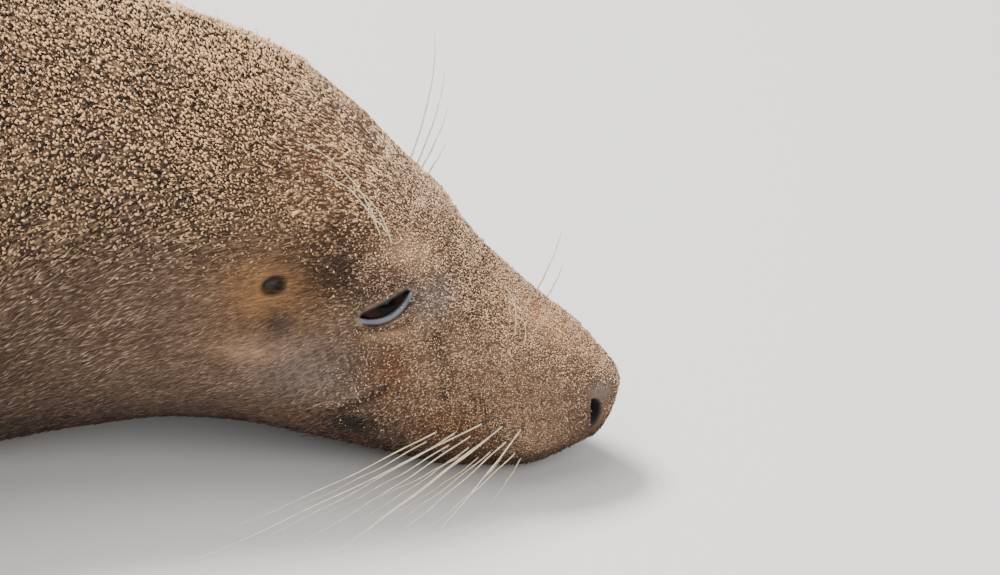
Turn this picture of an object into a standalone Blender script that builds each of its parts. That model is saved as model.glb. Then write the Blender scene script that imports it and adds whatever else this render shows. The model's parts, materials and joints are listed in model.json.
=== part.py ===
"""Grey seal cow, life size, lying on her belly with her chin on the ground.

Metres, +Z up, +X towards the head, -Y towards her right side. The body is first drawn
straight: a distance behind the nose, a reach to her right and a height above the axis.
The pose then bends that straight body along its axis, down to the ground.
"""
import math

import bmesh
import bpy
import numpy as np
from mathutils import Matrix, Vector

DEGREE = math.pi / 180

# Sections of the straight body: how far behind the nose, half width, height above the
# axis, depth below the axis, and how high the axis itself runs over the ground.
STATIONS = (
    ("nostrils", 0.016, 0.027, 0.0165, 0.041, 0.0583),
    ("whisker_pads", 0.040, 0.043, 0.029, 0.061, 0.0633),
    ("muzzle", 0.072, 0.052, 0.042, 0.073, 0.0700),
    ("cheeks", 0.105, 0.062, 0.061, 0.079, 0.0768),
    ("eyes", 0.145, 0.077, 0.088, 0.079, 0.0851),
    ("ears", 0.205, 0.102, 0.131, 0.079, 0.0976),
    ("nape", 0.255, 0.118, 0.150, 0.088, 0.1085),
    ("neck", 0.310, 0.131, 0.156, 0.110, 0.1210),
    ("withers", 0.400, 0.148, 0.168, 0.146, 0.1400),
    ("shoulders", 0.520, 0.187, 0.190, 0.170, 0.1600),
    ("ribs", 0.680, 0.222, 0.208, 0.187, 0.1750),
    ("belly", 0.860, 0.236, 0.210, 0.190, 0.1780),
    ("loins", 1.060, 0.222, 0.194, 0.180, 0.1680),
    ("rump", 1.260, 0.182, 0.158, 0.154, 0.1430),
    ("hips", 1.430, 0.136, 0.116, 0.120, 0.1090),
    ("ankles", 1.570, 0.098, 0.074, 0.088, 0.0780),
    ("flipper_roots", 1.660, 0.075, 0.046, 0.068, 0.0620),
    ("tail", 1.800, 0.060, 0.030, 0.050, 0.0500),
)
BEHIND, HALF_WIDTH, ABOVE, BELOW, AXIS_HEIGHT = (
    np.array([station[column] for station in STATIONS]) for column in range(1, 6)
)
NOSE_CAP = BEHIND[0]
# How the three extents close at the nose: they meet the first station without a kink.
NOSE_BLUNTNESS = (0.40, 0.42, 0.33)

# How the axis lies: the head is turned to the seal's right and nosed down a little.
HEAD_PITCH = 12 * DEGREE
HEAD_YAW = 13 * DEGREE
TRUNK_YAW = -3 * DEGREE
RUMP_YAW = -13 * DEGREE
AXIS_LENGTH = 2.1
AXIS_STEPS = 2101

# Swells and hollows on the straight body: place (behind, side, up), reach the same way,
# and height.
SWELLS = (
    ("whisker_pad", (0.050, 0.040, -0.026), (0.028, 0.030, 0.022), 0.005),
    ("brow", (0.152, 0.046, 0.078), (0.026, 0.030, 0.022), 0.004),
    ("eye", (0.143, 0.068, 0.050), (0.018, 0.024, 0.015), 0.0035),
    ("eye_hollow", (0.114, 0.055, 0.034), (0.016, 0.030, 0.018), -0.004),
    ("cheek", (0.185, 0.090, -0.020), (0.035, 0.040, 0.030), 0.003),
)

# Where the body is parted into sub-parts, and the gap left at each parting.
GAP = 0.0003
PARTINGS = (0.225, 0.420, 0.800, 1.200, 1.660)
TRUNK_NODES = ("neck", "chest", "belly", "hindquarters")
RING_SIDES = 36
TRUNK_SPACING = 0.045
HEAD_SPACING = 0.0115
CAP_SHARES = (0.01, 0.06, 0.2, 0.5)

# Lower jaw: the mouth's line and the jaw's rear edge, seen from the side.
MOUTH_LINE = (
    (-0.030, -0.031),
    (0.012, -0.032),
    (0.035, -0.040),
    (0.070, -0.050),
    (0.108, -0.056),
    (0.146, -0.043),
    (0.172, -0.120),
    (-0.030, -0.120),
)
JAW_NARROWING = 0.94
JAW_CUTTER_HALF_WIDTH = 0.14

EYE_BEHIND = 0.143
EYE_UP = 0.050
EYE_RADIUS = 0.0195
EYE_SUNK = 0.0015
EYELID_LENGTH = 0.034
EYELID_OPEN = 0.010
EYELID_SLANT = 37 * DEGREE
EAR_PLACE = (0.211, 0.056)
EAR_RADII = (0.008, 0.0045, 0.010)
EAR_SLANT = 35 * DEGREE
NOSTRIL_PLACE = (0.0078, -0.0075)
NOSTRIL_RADII = (0.0085, 0.0032, 0.009)

FLIPPER_SIDES = 24
FLIPPER_RINGS = 9
DIGITS = 5
# Fore flipper: along the limb, half width, thickness, height of its middle.
FORE_ROOT = (0.490, 0.080)
FORE_ANGLE = 46 * DEGREE
FORE_LENGTH = 0.360
FORE_SHAPE = (
    (0.00, 0.050, 0.070, 0.080),
    (0.30, 0.060, 0.076, 0.072),
    (0.48, 0.064, 0.054, 0.034),
    (0.66, 0.068, 0.032, 0.0155),
    (0.85, 0.072, 0.018, 0.0085),
    (1.00, 0.069, 0.009, 0.0045),
)
# Hind flipper: the same, along the limb behind the body's end.
HIND_ROOT_SIDE = 0.0385
HIND_SPLAY = 13 * DEGREE
HIND_LENGTH = 0.320
HIND_SHAPE = (
    (0.00, 0.0355, 0.094, 0.056),
    (0.20, 0.042, 0.066, 0.036),
    (0.40, 0.050, 0.042, 0.0205),
    (0.70, 0.068, 0.024, 0.0115),
    (1.00, 0.086, 0.009, 0.0045),
)
TAIL_SHAPE = (
    (0.00, 0.015, 0.024, 0.084),
    (0.30, 0.026, 0.020, 0.078),
    (0.70, 0.022, 0.015, 0.066),
    (1.00, 0.009, 0.008, 0.056),
)
TAIL_LENGTH = 0.125
TAIL_RINGS = 7
TAIL_SIDES = 16
FORE_CLAW = (0.026, 0.0034)
HIND_CLAW = (0.015, 0.0026)
CLAW_SIDES = 6
CLAW_RINGS = 4


# Curves and sections


def smoothstep(low, high, value):
    share = np.clip((value - low) / (high - low), 0, 1)
    return share * share * (3 - 2 * share)


def curve_through(places, heights, at):
    """Smooth curve through the given points that never overshoots them."""
    places, heights, at = (np.asarray(v, float) for v in (places, heights, at))
    step = np.diff(places)
    slope = np.diff(heights) / step
    bend = np.zeros_like(heights)
    bend[0] = slope[0]
    bend[-1] = slope[-1]
    same_way = slope[:-1] * slope[1:] > 0
    before = np.where(same_way, slope[:-1], 1)
    after = np.where(same_way, slope[1:], 1)
    near = 2 * step[1:] + step[:-1]
    far = step[1:] + 2 * step[:-1]
    bend[1:-1] = np.where(same_way, (near + far) / (near / before + far / after), 0)
    i = np.clip(np.searchsorted(places, at) - 1, 0, len(step) - 1)
    share = (at - places[i]) / step[i]
    rise = share * share * (3 - 2 * share)
    leave = step[i] * bend[i] * share * (1 - share) ** 2
    arrive = step[i] * bend[i + 1] * share * share * (share - 1)
    return heights[i] * (1 - rise) + heights[i + 1] * rise + leave + arrive


def extents(behind):
    """Half width, height above and depth below the axis; the nose closes bluntly."""
    inside = np.maximum(behind, NOSE_CAP)
    share = np.clip(behind / NOSE_CAP, 0, 1)
    return tuple(
        curve_through(BEHIND, column, inside) * share**power
        for column, power in zip((HALF_WIDTH, ABOVE, BELOW), NOSE_BLUNTNESS)
    )


def signed_power(value, exponent):
    return np.sign(value) * np.abs(value) ** exponent


def section(behind, turn, swell=0.0):
    """Side and up of the straight body's skin; turn 0 is the top, a quarter turn her right."""
    behind, turn = np.broadcast_arrays(np.asarray(behind, float), turn)
    wide, above, below = extents(behind)
    top = np.cos(turn) > 0
    boxy = 1 - 0.16 * (1 - smoothstep(0.08, 0.20, behind))
    spread = 1 - 0.25 * smoothstep(0.4, 0.8, behind)
    side = wide * signed_power(np.sin(turn), boxy * np.where(top, 1, spread))
    up = np.where(top, above, below) * signed_power(np.cos(turn), boxy * np.where(top, 1, spread))
    reach = np.hypot(side, up) + 1e-9
    grow = np.full_like(reach, swell)
    for _, place, spans, height in SWELLS:
        off = ((behind - place[0]) / spans[0]) ** 2
        off = off + ((np.abs(side) - place[1]) / spans[1]) ** 2
        off = off + ((up - place[2]) / spans[2]) ** 2
        grow = grow + height * np.exp(-off)
    return side * (1 + grow / reach), up * (1 + grow / reach)


def axis_table():
    """The axis' points and forward directions, one for each millimetre behind the nose."""
    behind = np.linspace(0, AXIS_LENGTH, AXIS_STEPS)
    height = curve_through(BEHIND, AXIS_HEIGHT, np.clip(behind, NOSE_CAP, BEHIND[-1]))
    nose_drop = (NOSE_CAP - np.minimum(behind, NOSE_CAP)) * math.sin(HEAD_PITCH)
    height = height - nose_drop
    yaw = HEAD_YAW + (TRUNK_YAW - HEAD_YAW) * smoothstep(0.20, 0.45, behind)
    yaw = yaw + (RUMP_YAW - TRUNK_YAW) * smoothstep(0.9, 1.7, behind)
    climb = np.gradient(height, behind)
    level = np.sqrt(1 - climb**2)
    back = np.stack([-np.cos(yaw) * level, np.sin(yaw) * level, climb], 1)
    step = behind[1] - behind[0]
    run = np.cumsum((back[1:, :2] + back[:-1, :2]) / 2 * step, axis=0)
    points = np.zeros((AXIS_STEPS, 3))
    points[1:, :2] = run
    points[:, 2] = height
    return behind, points, -back


AXIS_BEHIND, AXIS_POINTS, AXIS_FORWARD = axis_table()


def frames(behind):
    """Axis point, forward, right and up at each distance behind the nose."""
    inside = np.maximum(behind, 0)
    columns = range(3)
    point = np.stack([np.interp(inside, AXIS_BEHIND, AXIS_POINTS[:, k]) for k in columns], -1)
    ahead = np.stack([np.interp(inside, AXIS_BEHIND, AXIS_FORWARD[:, k]) for k in columns], -1)
    ahead /= np.linalg.norm(ahead, axis=-1, keepdims=True)
    right = np.stack([ahead[..., 1], -ahead[..., 0], np.zeros_like(inside)], -1)
    right /= np.linalg.norm(right, axis=-1, keepdims=True)
    point = point + (inside - behind)[..., None] * ahead
    return point, ahead, right, np.cross(right, ahead)


def pose(behind, side, up):
    """World place of points of the straight body."""
    behind, side, up = np.broadcast_arrays(np.asarray(behind, float), side, up)
    point, _, right, top = frames(behind)
    return point + side[..., None] * right + up[..., None] * top


def skin_point(behind, up, right_side=1):
    """Side of the straight body's skin at this height, and the outward direction there."""
    low = 0.02
    high = math.pi - 0.02
    for _ in range(50):
        turn = (low + high) / 2
        if section(behind, turn)[1] > up:
            low = turn
        else:
            high = turn
    small = 1e-4
    here = np.array([behind, *section(behind, turn)])
    along = np.array([behind + small, *section(behind + small, turn)]) - here
    around = np.array([behind, *section(behind, turn + small)]) - here
    outward = np.cross(around, along)
    outward /= np.linalg.norm(outward)
    if outward[1] < 0:
        outward = -outward
    flip = np.array([1, right_side, 1])
    return here * flip, outward * flip


# Building meshes


def material(name, colour, roughness):
    made = bpy.data.materials.new(name)
    made.use_nodes = True
    shader = made.node_tree.nodes["Principled BSDF"]
    shader.inputs["Base Color"].default_value = (*colour, 1)
    shader.inputs["Roughness"].default_value = roughness
    shader.inputs["Metallic"].default_value = 0
    return made


def finish_object(name, bm, look):
    bmesh.ops.recalc_face_normals(bm, faces=bm.faces)
    if bm.calc_volume(signed=True) < 0:
        bmesh.ops.reverse_faces(bm, faces=bm.faces)
    mesh = bpy.data.meshes.new(name)
    bm.to_mesh(mesh)
    bm.free()
    mesh.shade_smooth()
    mesh.set_sharp_from_angle(angle=50 * DEGREE)
    thing = bpy.data.objects.new(name, mesh)
    bpy.context.scene.collection.objects.link(thing)
    if look is not None:
        mesh.materials.append(look)
    return thing


def loft(name, rings, look, flat_ends=True):
    """Closed body through rings of points; thin ends are closed by quads across."""
    bm = bmesh.new()
    loops = []
    for ring in rings:
        verts = [bm.verts.new(point) for point in ring]
        edges = [bm.edges.new((a, b)) for a, b in zip(verts, verts[1:] + verts[:1])]
        loops.append((verts, edges))
    for (_, first), (_, second) in zip(loops, loops[1:]):
        bmesh.ops.bridge_loops(bm, edges=first + second)
    for verts, _ in (loops[0], loops[-1]):
        if flat_ends:
            bm.faces.new(verts)
        else:
            close_across(bm, verts)
    return finish_object(name, bm, look)


def close_across(bm, verts):
    count = len(verts)
    for i in range(count // 2):
        corners = [verts[i], verts[i + 1], verts[count - i - 1], verts[-i]]
        bm.faces.new(list(dict.fromkeys(corners)))


def cutter(thing):
    thing.hide_render = True
    thing.display_type = "WIRE"
    return thing


def boolean(thing, tool, operation="DIFFERENCE"):
    change = thing.modifiers.new(tool.name, "BOOLEAN")
    change.operation = operation
    change.solver = "EXACT"
    change.object = tool


def on_ground(points):
    points[..., 2] = np.where(points[..., 2] < 1e-6, 0, points[..., 2])
    return points


def body_rings(distances, narrowing=1.0, swell=0.0):
    """Rings of the posed body, with the underside pressed level with the ground."""
    turns = np.arange(RING_SIDES) * 2 * math.pi / RING_SIDES
    rings = []
    for behind in distances:
        side, up = section(behind, turns, swell)
        point, _, _, top = frames(np.array(behind))
        up = np.maximum(up, -point[2] / top[2])
        rings.append(on_ground(pose(behind, side * narrowing, up)))
    return rings


def spaced(start, end, spacing):
    return np.linspace(start, end, max(2, round((end - start) / spacing) + 1))


def head_distances():
    dome = [NOSE_CAP * share for share in CAP_SHARES]
    return [*dome, *spaced(NOSE_CAP, PARTINGS[0], HEAD_SPACING)]


# Head and jaw


def side_prism(name, outline, half_width, drop=0.0, trim=0.0):
    """Prism through the head from one side to the other, with its outline seen from the side."""
    centre = sum(behind for behind, _ in outline) / len(outline)
    rings = []
    for side in (-half_width, half_width):
        ring = []
        for behind, up in outline:
            shift = -trim if behind > centre else 0
            ring.append(pose(behind + shift, side, up - drop))
        rings.append(ring)
    return loft(name, rings, None)


def placed(centre, outward, slant):
    """World matrix with +Z outward at a point of the straight head and +X turned by a slant."""
    origin = Vector(pose(centre[0], centre[1], centre[2]))
    _, ahead, right, top = frames(np.array(centre[0]))
    ahead, right, top = Vector(ahead), Vector(right), Vector(top)
    z_axis = (-ahead * outward[0] + right * outward[1] + top * outward[2]).normalized()
    x_axis = ahead * math.cos(slant) + top * math.sin(slant)
    x_axis = (x_axis - z_axis * x_axis.dot(z_axis)).normalized()
    y_axis = z_axis.cross(x_axis)
    axes = Matrix((x_axis, y_axis, z_axis)).transposed()
    return Matrix.Translation(origin) @ axes.to_4x4()


def ball(name, radii, matrix, look, segments=18, rings=10):
    bm = bmesh.new()
    bmesh.ops.create_uvsphere(bm, u_segments=segments, v_segments=rings, radius=1)
    bmesh.ops.scale(bm, vec=radii, verts=bm.verts)
    bmesh.ops.transform(bm, matrix=matrix, verts=bm.verts)
    return finish_object(name, bm, look)


def almond(name, length, open_height, depth, matrix):
    """Prism with an almond outline: two arcs that meet in the corners of the eye."""
    half = length / 2
    steps = 7
    outline = []
    for sign in (1, -1):
        for k in range(steps):
            x = half * math.cos(math.pi * k / steps) * sign
            y = open_height / 2 * (1 - (x / half) ** 2) * sign
            outline.append((x, y))
    rings = []
    for z in (-depth / 2, depth / 2):
        rings.append([matrix @ Vector((x, y, z)) for x, y in outline])
    return loft(name, rings, None)


def build_eye(label, right_side, look):
    """One eyeball, with the cutters for its socket and for the slit between its lids."""
    surface, outward = skin_point(EYE_BEHIND, EYE_UP, right_side)
    centre = surface - outward * (EYE_RADIUS + EYE_SUNK)
    facing = placed(centre, outward, EYELID_SLANT)
    ball("eye_" + label, [EYE_RADIUS] * 3, facing, look)
    socket_radius = EYE_RADIUS + GAP * 1.5
    socket = cutter(ball("socket_" + label, [socket_radius] * 3, facing, None))
    front = facing @ Matrix.Translation((0, 0, EYE_RADIUS))
    slit = cutter(almond("slit_" + label, EYELID_LENGTH, EYELID_OPEN, EYE_RADIUS, front))
    return [socket, slit]


def build_pits(label, right_side):
    """Cutters for one ear hole and one nostril."""
    surface, outward = skin_point(*EAR_PLACE, right_side)
    ear = ball("ear_pit_" + label, EAR_RADII, placed(surface, outward, EAR_SLANT), None, 10, 8)
    surface, outward = skin_point(*NOSTRIL_PLACE, right_side)
    upright = placed(surface, outward, 90 * DEGREE)
    nostril = ball("nostril_pit_" + label, NOSTRIL_RADII, upright, None, 10, 8)
    return [cutter(ear), cutter(nostril)]


def build_head(looks):
    head = loft("head", body_rings(head_distances()), looks["face"])
    jaw = loft("lower_jaw", body_rings(head_distances(), JAW_NARROWING), looks["throat"])
    room = cutter(side_prism("jaw_room", MOUTH_LINE, JAW_CUTTER_HALF_WIDTH))
    shape = side_prism("jaw_shape", MOUTH_LINE, JAW_CUTTER_HALF_WIDTH - GAP, GAP * 2, GAP * 2)
    boolean(head, room)
    boolean(jaw, cutter(shape), "INTERSECT")
    for label, right_side in (("right", 1), ("left", -1)):
        for tool in build_eye(label, right_side, looks["eye"]) + build_pits(label, right_side):
            boolean(head, tool)


def build_trunk(looks):
    for name, start, end in zip(TRUNK_NODES, PARTINGS, PARTINGS[1:]):
        distances = spaced(start + GAP, end, TRUNK_SPACING)
        loft(name, body_rings(distances), looks["coat"])


# Flippers, tail and claws


def along(shape, share):
    """Half width, thickness and middle height of a limb at a share of its length."""
    table = np.array(shape)
    return [curve_through(table[:, 0], table[:, k], share) for k in (1, 2, 3)]


def tip_reach(across, crescent, slope):
    """How far the outline reaches at a place across the flipper, -1 to 1: scalloped digits."""
    phase = (across + 1) / 2 * DIGITS
    scallop = 0.035 * (1 - abs(math.sin(math.pi * phase)))
    return 1 - crescent * (1 - across**2) - slope * (1 - across) / 2 - scallop


def flipper_ring(share, shape, crescent, slope):
    """(along, across, height) points round a flipper, with ridges over its digits."""
    half_width, thickness, middle = along(shape, share)
    points = []
    for k in range(FLIPPER_SIDES):
        angle = 2 * math.pi * k / FLIPPER_SIDES
        across = math.cos(angle)
        ridge = 0.88 + 0.12 * abs(math.sin(math.pi * (across + 1) / 2 * DIGITS))
        lift = signed_power(math.sin(angle), 0.8) * thickness / 2
        lift = lift * (1 + (ridge - 1) * smoothstep(0.3, 0.7, share))
        reach = share * (1 + (tip_reach(across, crescent, slope) - 1) * smoothstep(0, 1, share))
        points.append((reach, across * half_width, max(middle + lift, 0)))
    return points


def fore_flipper_frame(right_side):
    root = pose(FORE_ROOT[0], FORE_ROOT[1] * right_side, 0.0)
    _, ahead, right, _ = frames(np.array(FORE_ROOT[0]))
    outward = Vector(right) * right_side
    back = -Vector((ahead[0], ahead[1], 0)).normalized()
    limb = back * math.cos(FORE_ANGLE) + outward * math.sin(FORE_ANGLE)
    return Vector((root[0], root[1], 0)), limb, back * math.sin(FORE_ANGLE) - outward * math.cos(FORE_ANGLE)


def hind_flipper_frame(right_side):
    return right_side


def at_height(behind, side, height):
    """World point of the straight body's side, raised in its section to a height."""
    point, _, _, top = frames(np.array(behind))
    return tuple(pose(behind, side, (height - point[2]) / top[2]))


def fore_point(frame, reach, across, height):
    """Trailing edge at across -1 (towards the body's rear), leading edge at +1."""
    root, limb, rearward = frame
    place = root + limb * (FORE_LENGTH * reach) - rearward * across
    return (place.x, place.y, height)


def hind_point(right_side, reach, across, height):
    behind = PARTINGS[-1] + GAP + HIND_LENGTH * reach
    splay = math.tan(HIND_SPLAY) * reach * HIND_LENGTH
    return at_height(behind, right_side * (HIND_ROOT_SIDE + splay - across), height)


LIMBS = {
    "fore": (FORE_SHAPE, fore_flipper_frame, fore_point, 0.0, 0.20, FORE_LENGTH, FORE_CLAW),
    "hind": (HIND_SHAPE, hind_flipper_frame, hind_point, 0.10, 0.0, HIND_LENGTH, HIND_CLAW),
}


def build_flipper(kind, label, right_side, looks):
    shape, frame_of, point_of, crescent, slope, _, _ = LIMBS[kind]
    frame = frame_of(right_side)
    rings = []
    for share in np.linspace(0, 1, FLIPPER_RINGS):
        ring = flipper_ring(share, shape, crescent, slope)
        rings.append([point_of(frame, *point) for point in ring])
    name = f"{kind}_flipper_{label}"
    flipper = loft(name, rings, looks["flipper"], flat_ends=False)
    for digit in range(DIGITS):
        build_claw(kind, f"{name}_claw_{digit + 1}", frame, digit, looks["claw"])
    return flipper


def build_claw(kind, name, frame, digit, look):
    """A tapering claw that leaves the digit's end and bends down towards the ground."""
    shape, _, point_of, crescent, slope, limb_length, (length, radius) = LIMBS[kind]
    half_width, _, middle = along(shape, 1.0)
    across = 1 - (2 * digit + 1) / DIGITS
    reach = tip_reach(across, crescent, slope)
    rings = []
    for k in range(CLAW_RINGS):
        share = k / (CLAW_RINGS - 1)
        size = radius * (1 - 0.85 * share**1.5)
        ahead = reach + (GAP * 2 + length * share) / limb_length
        height = middle + 0.0035 + radius * (0.9 * share - 1.9 * share**2)
        ring = []
        for side in range(CLAW_SIDES):
            angle = 2 * math.pi * side / CLAW_SIDES
            ring.append(
                point_of(
                    frame,
                    ahead,
                    across * half_width + size * math.cos(angle) * 0.8,
                    height + size * math.sin(angle),
                )
            )
        rings.append(ring)
    return loft(name, rings, look)


def tail_rings(swell=0.0):
    """Rings of the tail, or with a swell those of the room that it takes in its neighbours."""
    rings = []
    for share in np.linspace(0, 1, TAIL_RINGS):
        half_width, thickness, middle = along(TAIL_SHAPE, share)
        behind = PARTINGS[-1] + GAP - 2 * swell + (TAIL_LENGTH + 3 * swell) * share
        ring = []
        for k in range(TAIL_SIDES):
            angle = 2 * math.pi * k / TAIL_SIDES
            height = middle + (thickness / 2 + swell) * math.sin(angle)
            ring.append(at_height(behind, (half_width + swell) * math.cos(angle), height))
        rings.append(ring)
    return rings


def build_flippers(looks):
    distances = spaced(PARTINGS[1], PARTINGS[3], TRUNK_SPACING)
    body_room = cutter(loft("body_room", body_rings(distances, swell=GAP * 1.5), None))
    tail_room = cutter(loft("tail_room", tail_rings(GAP * 3), None))
    for label, right_side in (("right", 1), ("left", -1)):
        fore = build_flipper("fore", label, right_side, looks)
        boolean(fore, body_room)
        hind = build_flipper("hind", label, right_side, looks)
        boolean(hind, tail_room)


def centre_on_ground():
    """Moves everything so that the middle of the seal's footprint is the origin."""
    made = [thing for thing in bpy.data.objects if thing.type == "MESH"]
    shown = [thing for thing in made if not thing.hide_render]
    corners = np.array([tuple(vert.co) for thing in shown for vert in thing.data.vertices])
    middle = (corners.min(0) + corners.max(0)) / 2
    for thing in made:
        thing.data.transform(Matrix.Translation((-middle[0], -middle[1], 0)))


def main():
    for thing in list(bpy.data.objects):
        bpy.data.objects.remove(thing, do_unlink=True)
    looks = {
        "coat": material("wet sandy coat", (0.25, 0.16, 0.10), 0.85),
        "face": material("short face fur", (0.30, 0.19, 0.12), 0.8),
        "throat": material("dark throat fur", (0.14, 0.09, 0.06), 0.75),
        "flipper": material("flipper fur", (0.12, 0.09, 0.07), 0.7),
        "eye": material("wet eye", (0.01, 0.006, 0.005), 0.05),
        "claw": material("claw horn", (0.03, 0.025, 0.02), 0.4),
    }
    build_head(looks)
    build_trunk(looks)
    build_flippers(looks)
    loft("tail", tail_rings(), looks["coat"])
    centre_on_ground()


main()
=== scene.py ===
# %% [markdown]
# # A grey seal cow, resting with her chin on the ground
# The imported model is a fixed frame in metres, with the floor at z = 0. Everything below is dressed
# over it: one skin, a coat of short tufts, eyes, claws and whiskers. We load it; a part's box can be read.

import json
import math
from functools import partial

import bmesh
import bpy
import numpy as np
from mathutils import Matrix, Vector
from mathutils.kdtree import KDTree

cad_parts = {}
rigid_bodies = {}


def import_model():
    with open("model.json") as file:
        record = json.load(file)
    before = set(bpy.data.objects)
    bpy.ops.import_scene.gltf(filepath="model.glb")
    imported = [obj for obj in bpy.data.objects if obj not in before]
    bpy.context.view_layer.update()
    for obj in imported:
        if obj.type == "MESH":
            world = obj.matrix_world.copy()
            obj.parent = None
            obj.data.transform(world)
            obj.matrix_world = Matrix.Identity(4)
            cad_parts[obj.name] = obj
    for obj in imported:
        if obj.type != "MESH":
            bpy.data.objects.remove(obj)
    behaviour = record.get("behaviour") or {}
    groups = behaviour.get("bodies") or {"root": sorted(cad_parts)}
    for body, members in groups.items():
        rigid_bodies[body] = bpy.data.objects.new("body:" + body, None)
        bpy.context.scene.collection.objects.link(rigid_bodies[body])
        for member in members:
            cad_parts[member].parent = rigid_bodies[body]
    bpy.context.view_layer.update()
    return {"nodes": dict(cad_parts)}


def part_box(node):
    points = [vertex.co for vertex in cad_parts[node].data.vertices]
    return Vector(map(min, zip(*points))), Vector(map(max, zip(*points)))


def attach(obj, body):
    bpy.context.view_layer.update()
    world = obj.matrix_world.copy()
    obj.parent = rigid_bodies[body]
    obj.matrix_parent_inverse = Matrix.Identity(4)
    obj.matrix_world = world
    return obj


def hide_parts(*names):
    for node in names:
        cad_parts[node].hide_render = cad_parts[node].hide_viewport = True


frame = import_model()
DEGREE = math.pi / 180
MM = 0.001

# %% [markdown]
# ## The straight body
# A bent animal is hard to draw, so the seal is first laid out straight: how far behind the nose, how
# far to her right, how high above her axis. A smooth curve runs through each column of the table.

# %% Sections of the straight body
# Behind the nose, half width, height above the axis, depth below it, height of the axis itself.
STATIONS = (
    ("nostrils", 0.016, 0.027, 0.0165, 0.041, 0.0583),
    ("whisker_pads", 0.040, 0.043, 0.029, 0.061, 0.0633),
    ("muzzle", 0.072, 0.052, 0.042, 0.073, 0.0700),
    ("cheeks", 0.105, 0.062, 0.061, 0.079, 0.0768),
    ("eyes", 0.145, 0.077, 0.088, 0.079, 0.0851),
    ("ears", 0.205, 0.102, 0.131, 0.079, 0.0976),
    ("nape", 0.255, 0.118, 0.150, 0.088, 0.1085),
    ("neck", 0.310, 0.131, 0.156, 0.110, 0.1210),
    ("withers", 0.400, 0.148, 0.168, 0.146, 0.1400),
    ("shoulders", 0.520, 0.187, 0.190, 0.170, 0.1600),
    ("ribs", 0.680, 0.222, 0.208, 0.187, 0.1750),
    ("belly", 0.860, 0.236, 0.210, 0.190, 0.1780),
    ("loins", 1.060, 0.222, 0.194, 0.180, 0.1680),
    ("rump", 1.260, 0.182, 0.158, 0.154, 0.1430),
    ("hips", 1.430, 0.136, 0.116, 0.120, 0.1090),
    ("ankles", 1.570, 0.098, 0.074, 0.088, 0.0780),
    ("flipper_roots", 1.660, 0.075, 0.046, 0.068, 0.0620),
    ("tail", 1.800, 0.060, 0.030, 0.050, 0.0500),
)
BEHIND, HALF_WIDTH, ABOVE, BELOW, AXIS_HEIGHT = (
    np.array([station[column] for station in STATIONS]) for column in range(1, 6)
)
NOSE_CAP = BEHIND[0]
# Powers that close the three extents at the nose; they meet the first station without a kink.
NOSE_BLUNTNESS = (0.40, 0.42, 0.33)
# How much squarer than an ellipse the head's section is, and the trunk's lower half.
HEAD_BOXY = 0.16
BELLY_BOXY = 0.25

# Swells and hollows: place (behind, side, up), reach the same way, and height.
SWELLS = (
    ("whisker_pad", (0.050, 0.040, -0.026), (0.028, 0.030, 0.022), 0.005),
    ("brow", (0.152, 0.046, 0.078), (0.026, 0.030, 0.022), 0.004),
    ("eye", (0.143, 0.068, 0.050), (0.018, 0.024, 0.015), 0.0035),
    ("eye_hollow", (0.114, 0.055, 0.034), (0.016, 0.030, 0.018), -0.004),
    ("cheek", (0.185, 0.090, -0.020), (0.035, 0.040, 0.030), 0.003),
)
print("stations:", len(STATIONS), "swells:", len(SWELLS))

# %% [markdown]
# A body's outline has no corners, and a curve that overshoots would pinch it. So the stations are
# joined by a curve that keeps between its neighbours. A section is close to an ellipse, but its
# upper and lower half have heights of their own.

# %% Curves through the stations
def smoothstep(low, high, value):
    share = np.clip((value - low) / (high - low), 0, 1)
    return share * share * (3 - 2 * share)


def hump(distance, width):
    """1 at no distance, and a smooth fall to nothing within about two widths."""
    return np.exp(-((distance / width) ** 2))


def unit(vectors):
    return vectors / np.linalg.norm(vectors, axis=-1, keepdims=True)


def interpolate(at, places, rows):
    """Linear interpolation of each column of a table."""
    return np.stack([np.interp(at, places, column) for column in rows.T], -1)


def curve_through(places, heights, at):
    """Smooth curve through the given points that never overshoots them."""
    places, heights, at = (np.asarray(v, float) for v in (places, heights, at))
    step = np.diff(places)
    slope = np.diff(heights) / step
    bend = np.zeros_like(heights)
    bend[0] = slope[0]
    bend[-1] = slope[-1]
    same_way = slope[:-1] * slope[1:] > 0
    before = np.where(same_way, slope[:-1], 1)
    after = np.where(same_way, slope[1:], 1)
    near = 2 * step[1:] + step[:-1]
    far = step[1:] + 2 * step[:-1]
    bend[1:-1] = np.where(same_way, (near + far) / (near / before + far / after), 0)
    i = np.clip(np.searchsorted(places, at) - 1, 0, len(step) - 1)
    share = (at - places[i]) / step[i]
    rise = share * share * (3 - 2 * share)
    leave = step[i] * bend[i] * share * (1 - share) ** 2
    arrive = step[i] * bend[i + 1] * share * share * (share - 1)
    return heights[i] * (1 - rise) + heights[i + 1] * rise + leave + arrive


def extents(behind):
    """Half width, height above and depth below the axis; the nose closes bluntly."""
    inside = np.maximum(behind, NOSE_CAP)
    share = np.clip(behind / NOSE_CAP, 0, 1)
    return tuple(
        curve_through(BEHIND, column, inside) * share**power
        for column, power in zip((HALF_WIDTH, ABOVE, BELOW), NOSE_BLUNTNESS)
    )


def signed_power(value, exponent):
    return np.sign(value) * np.abs(value) ** exponent


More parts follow.
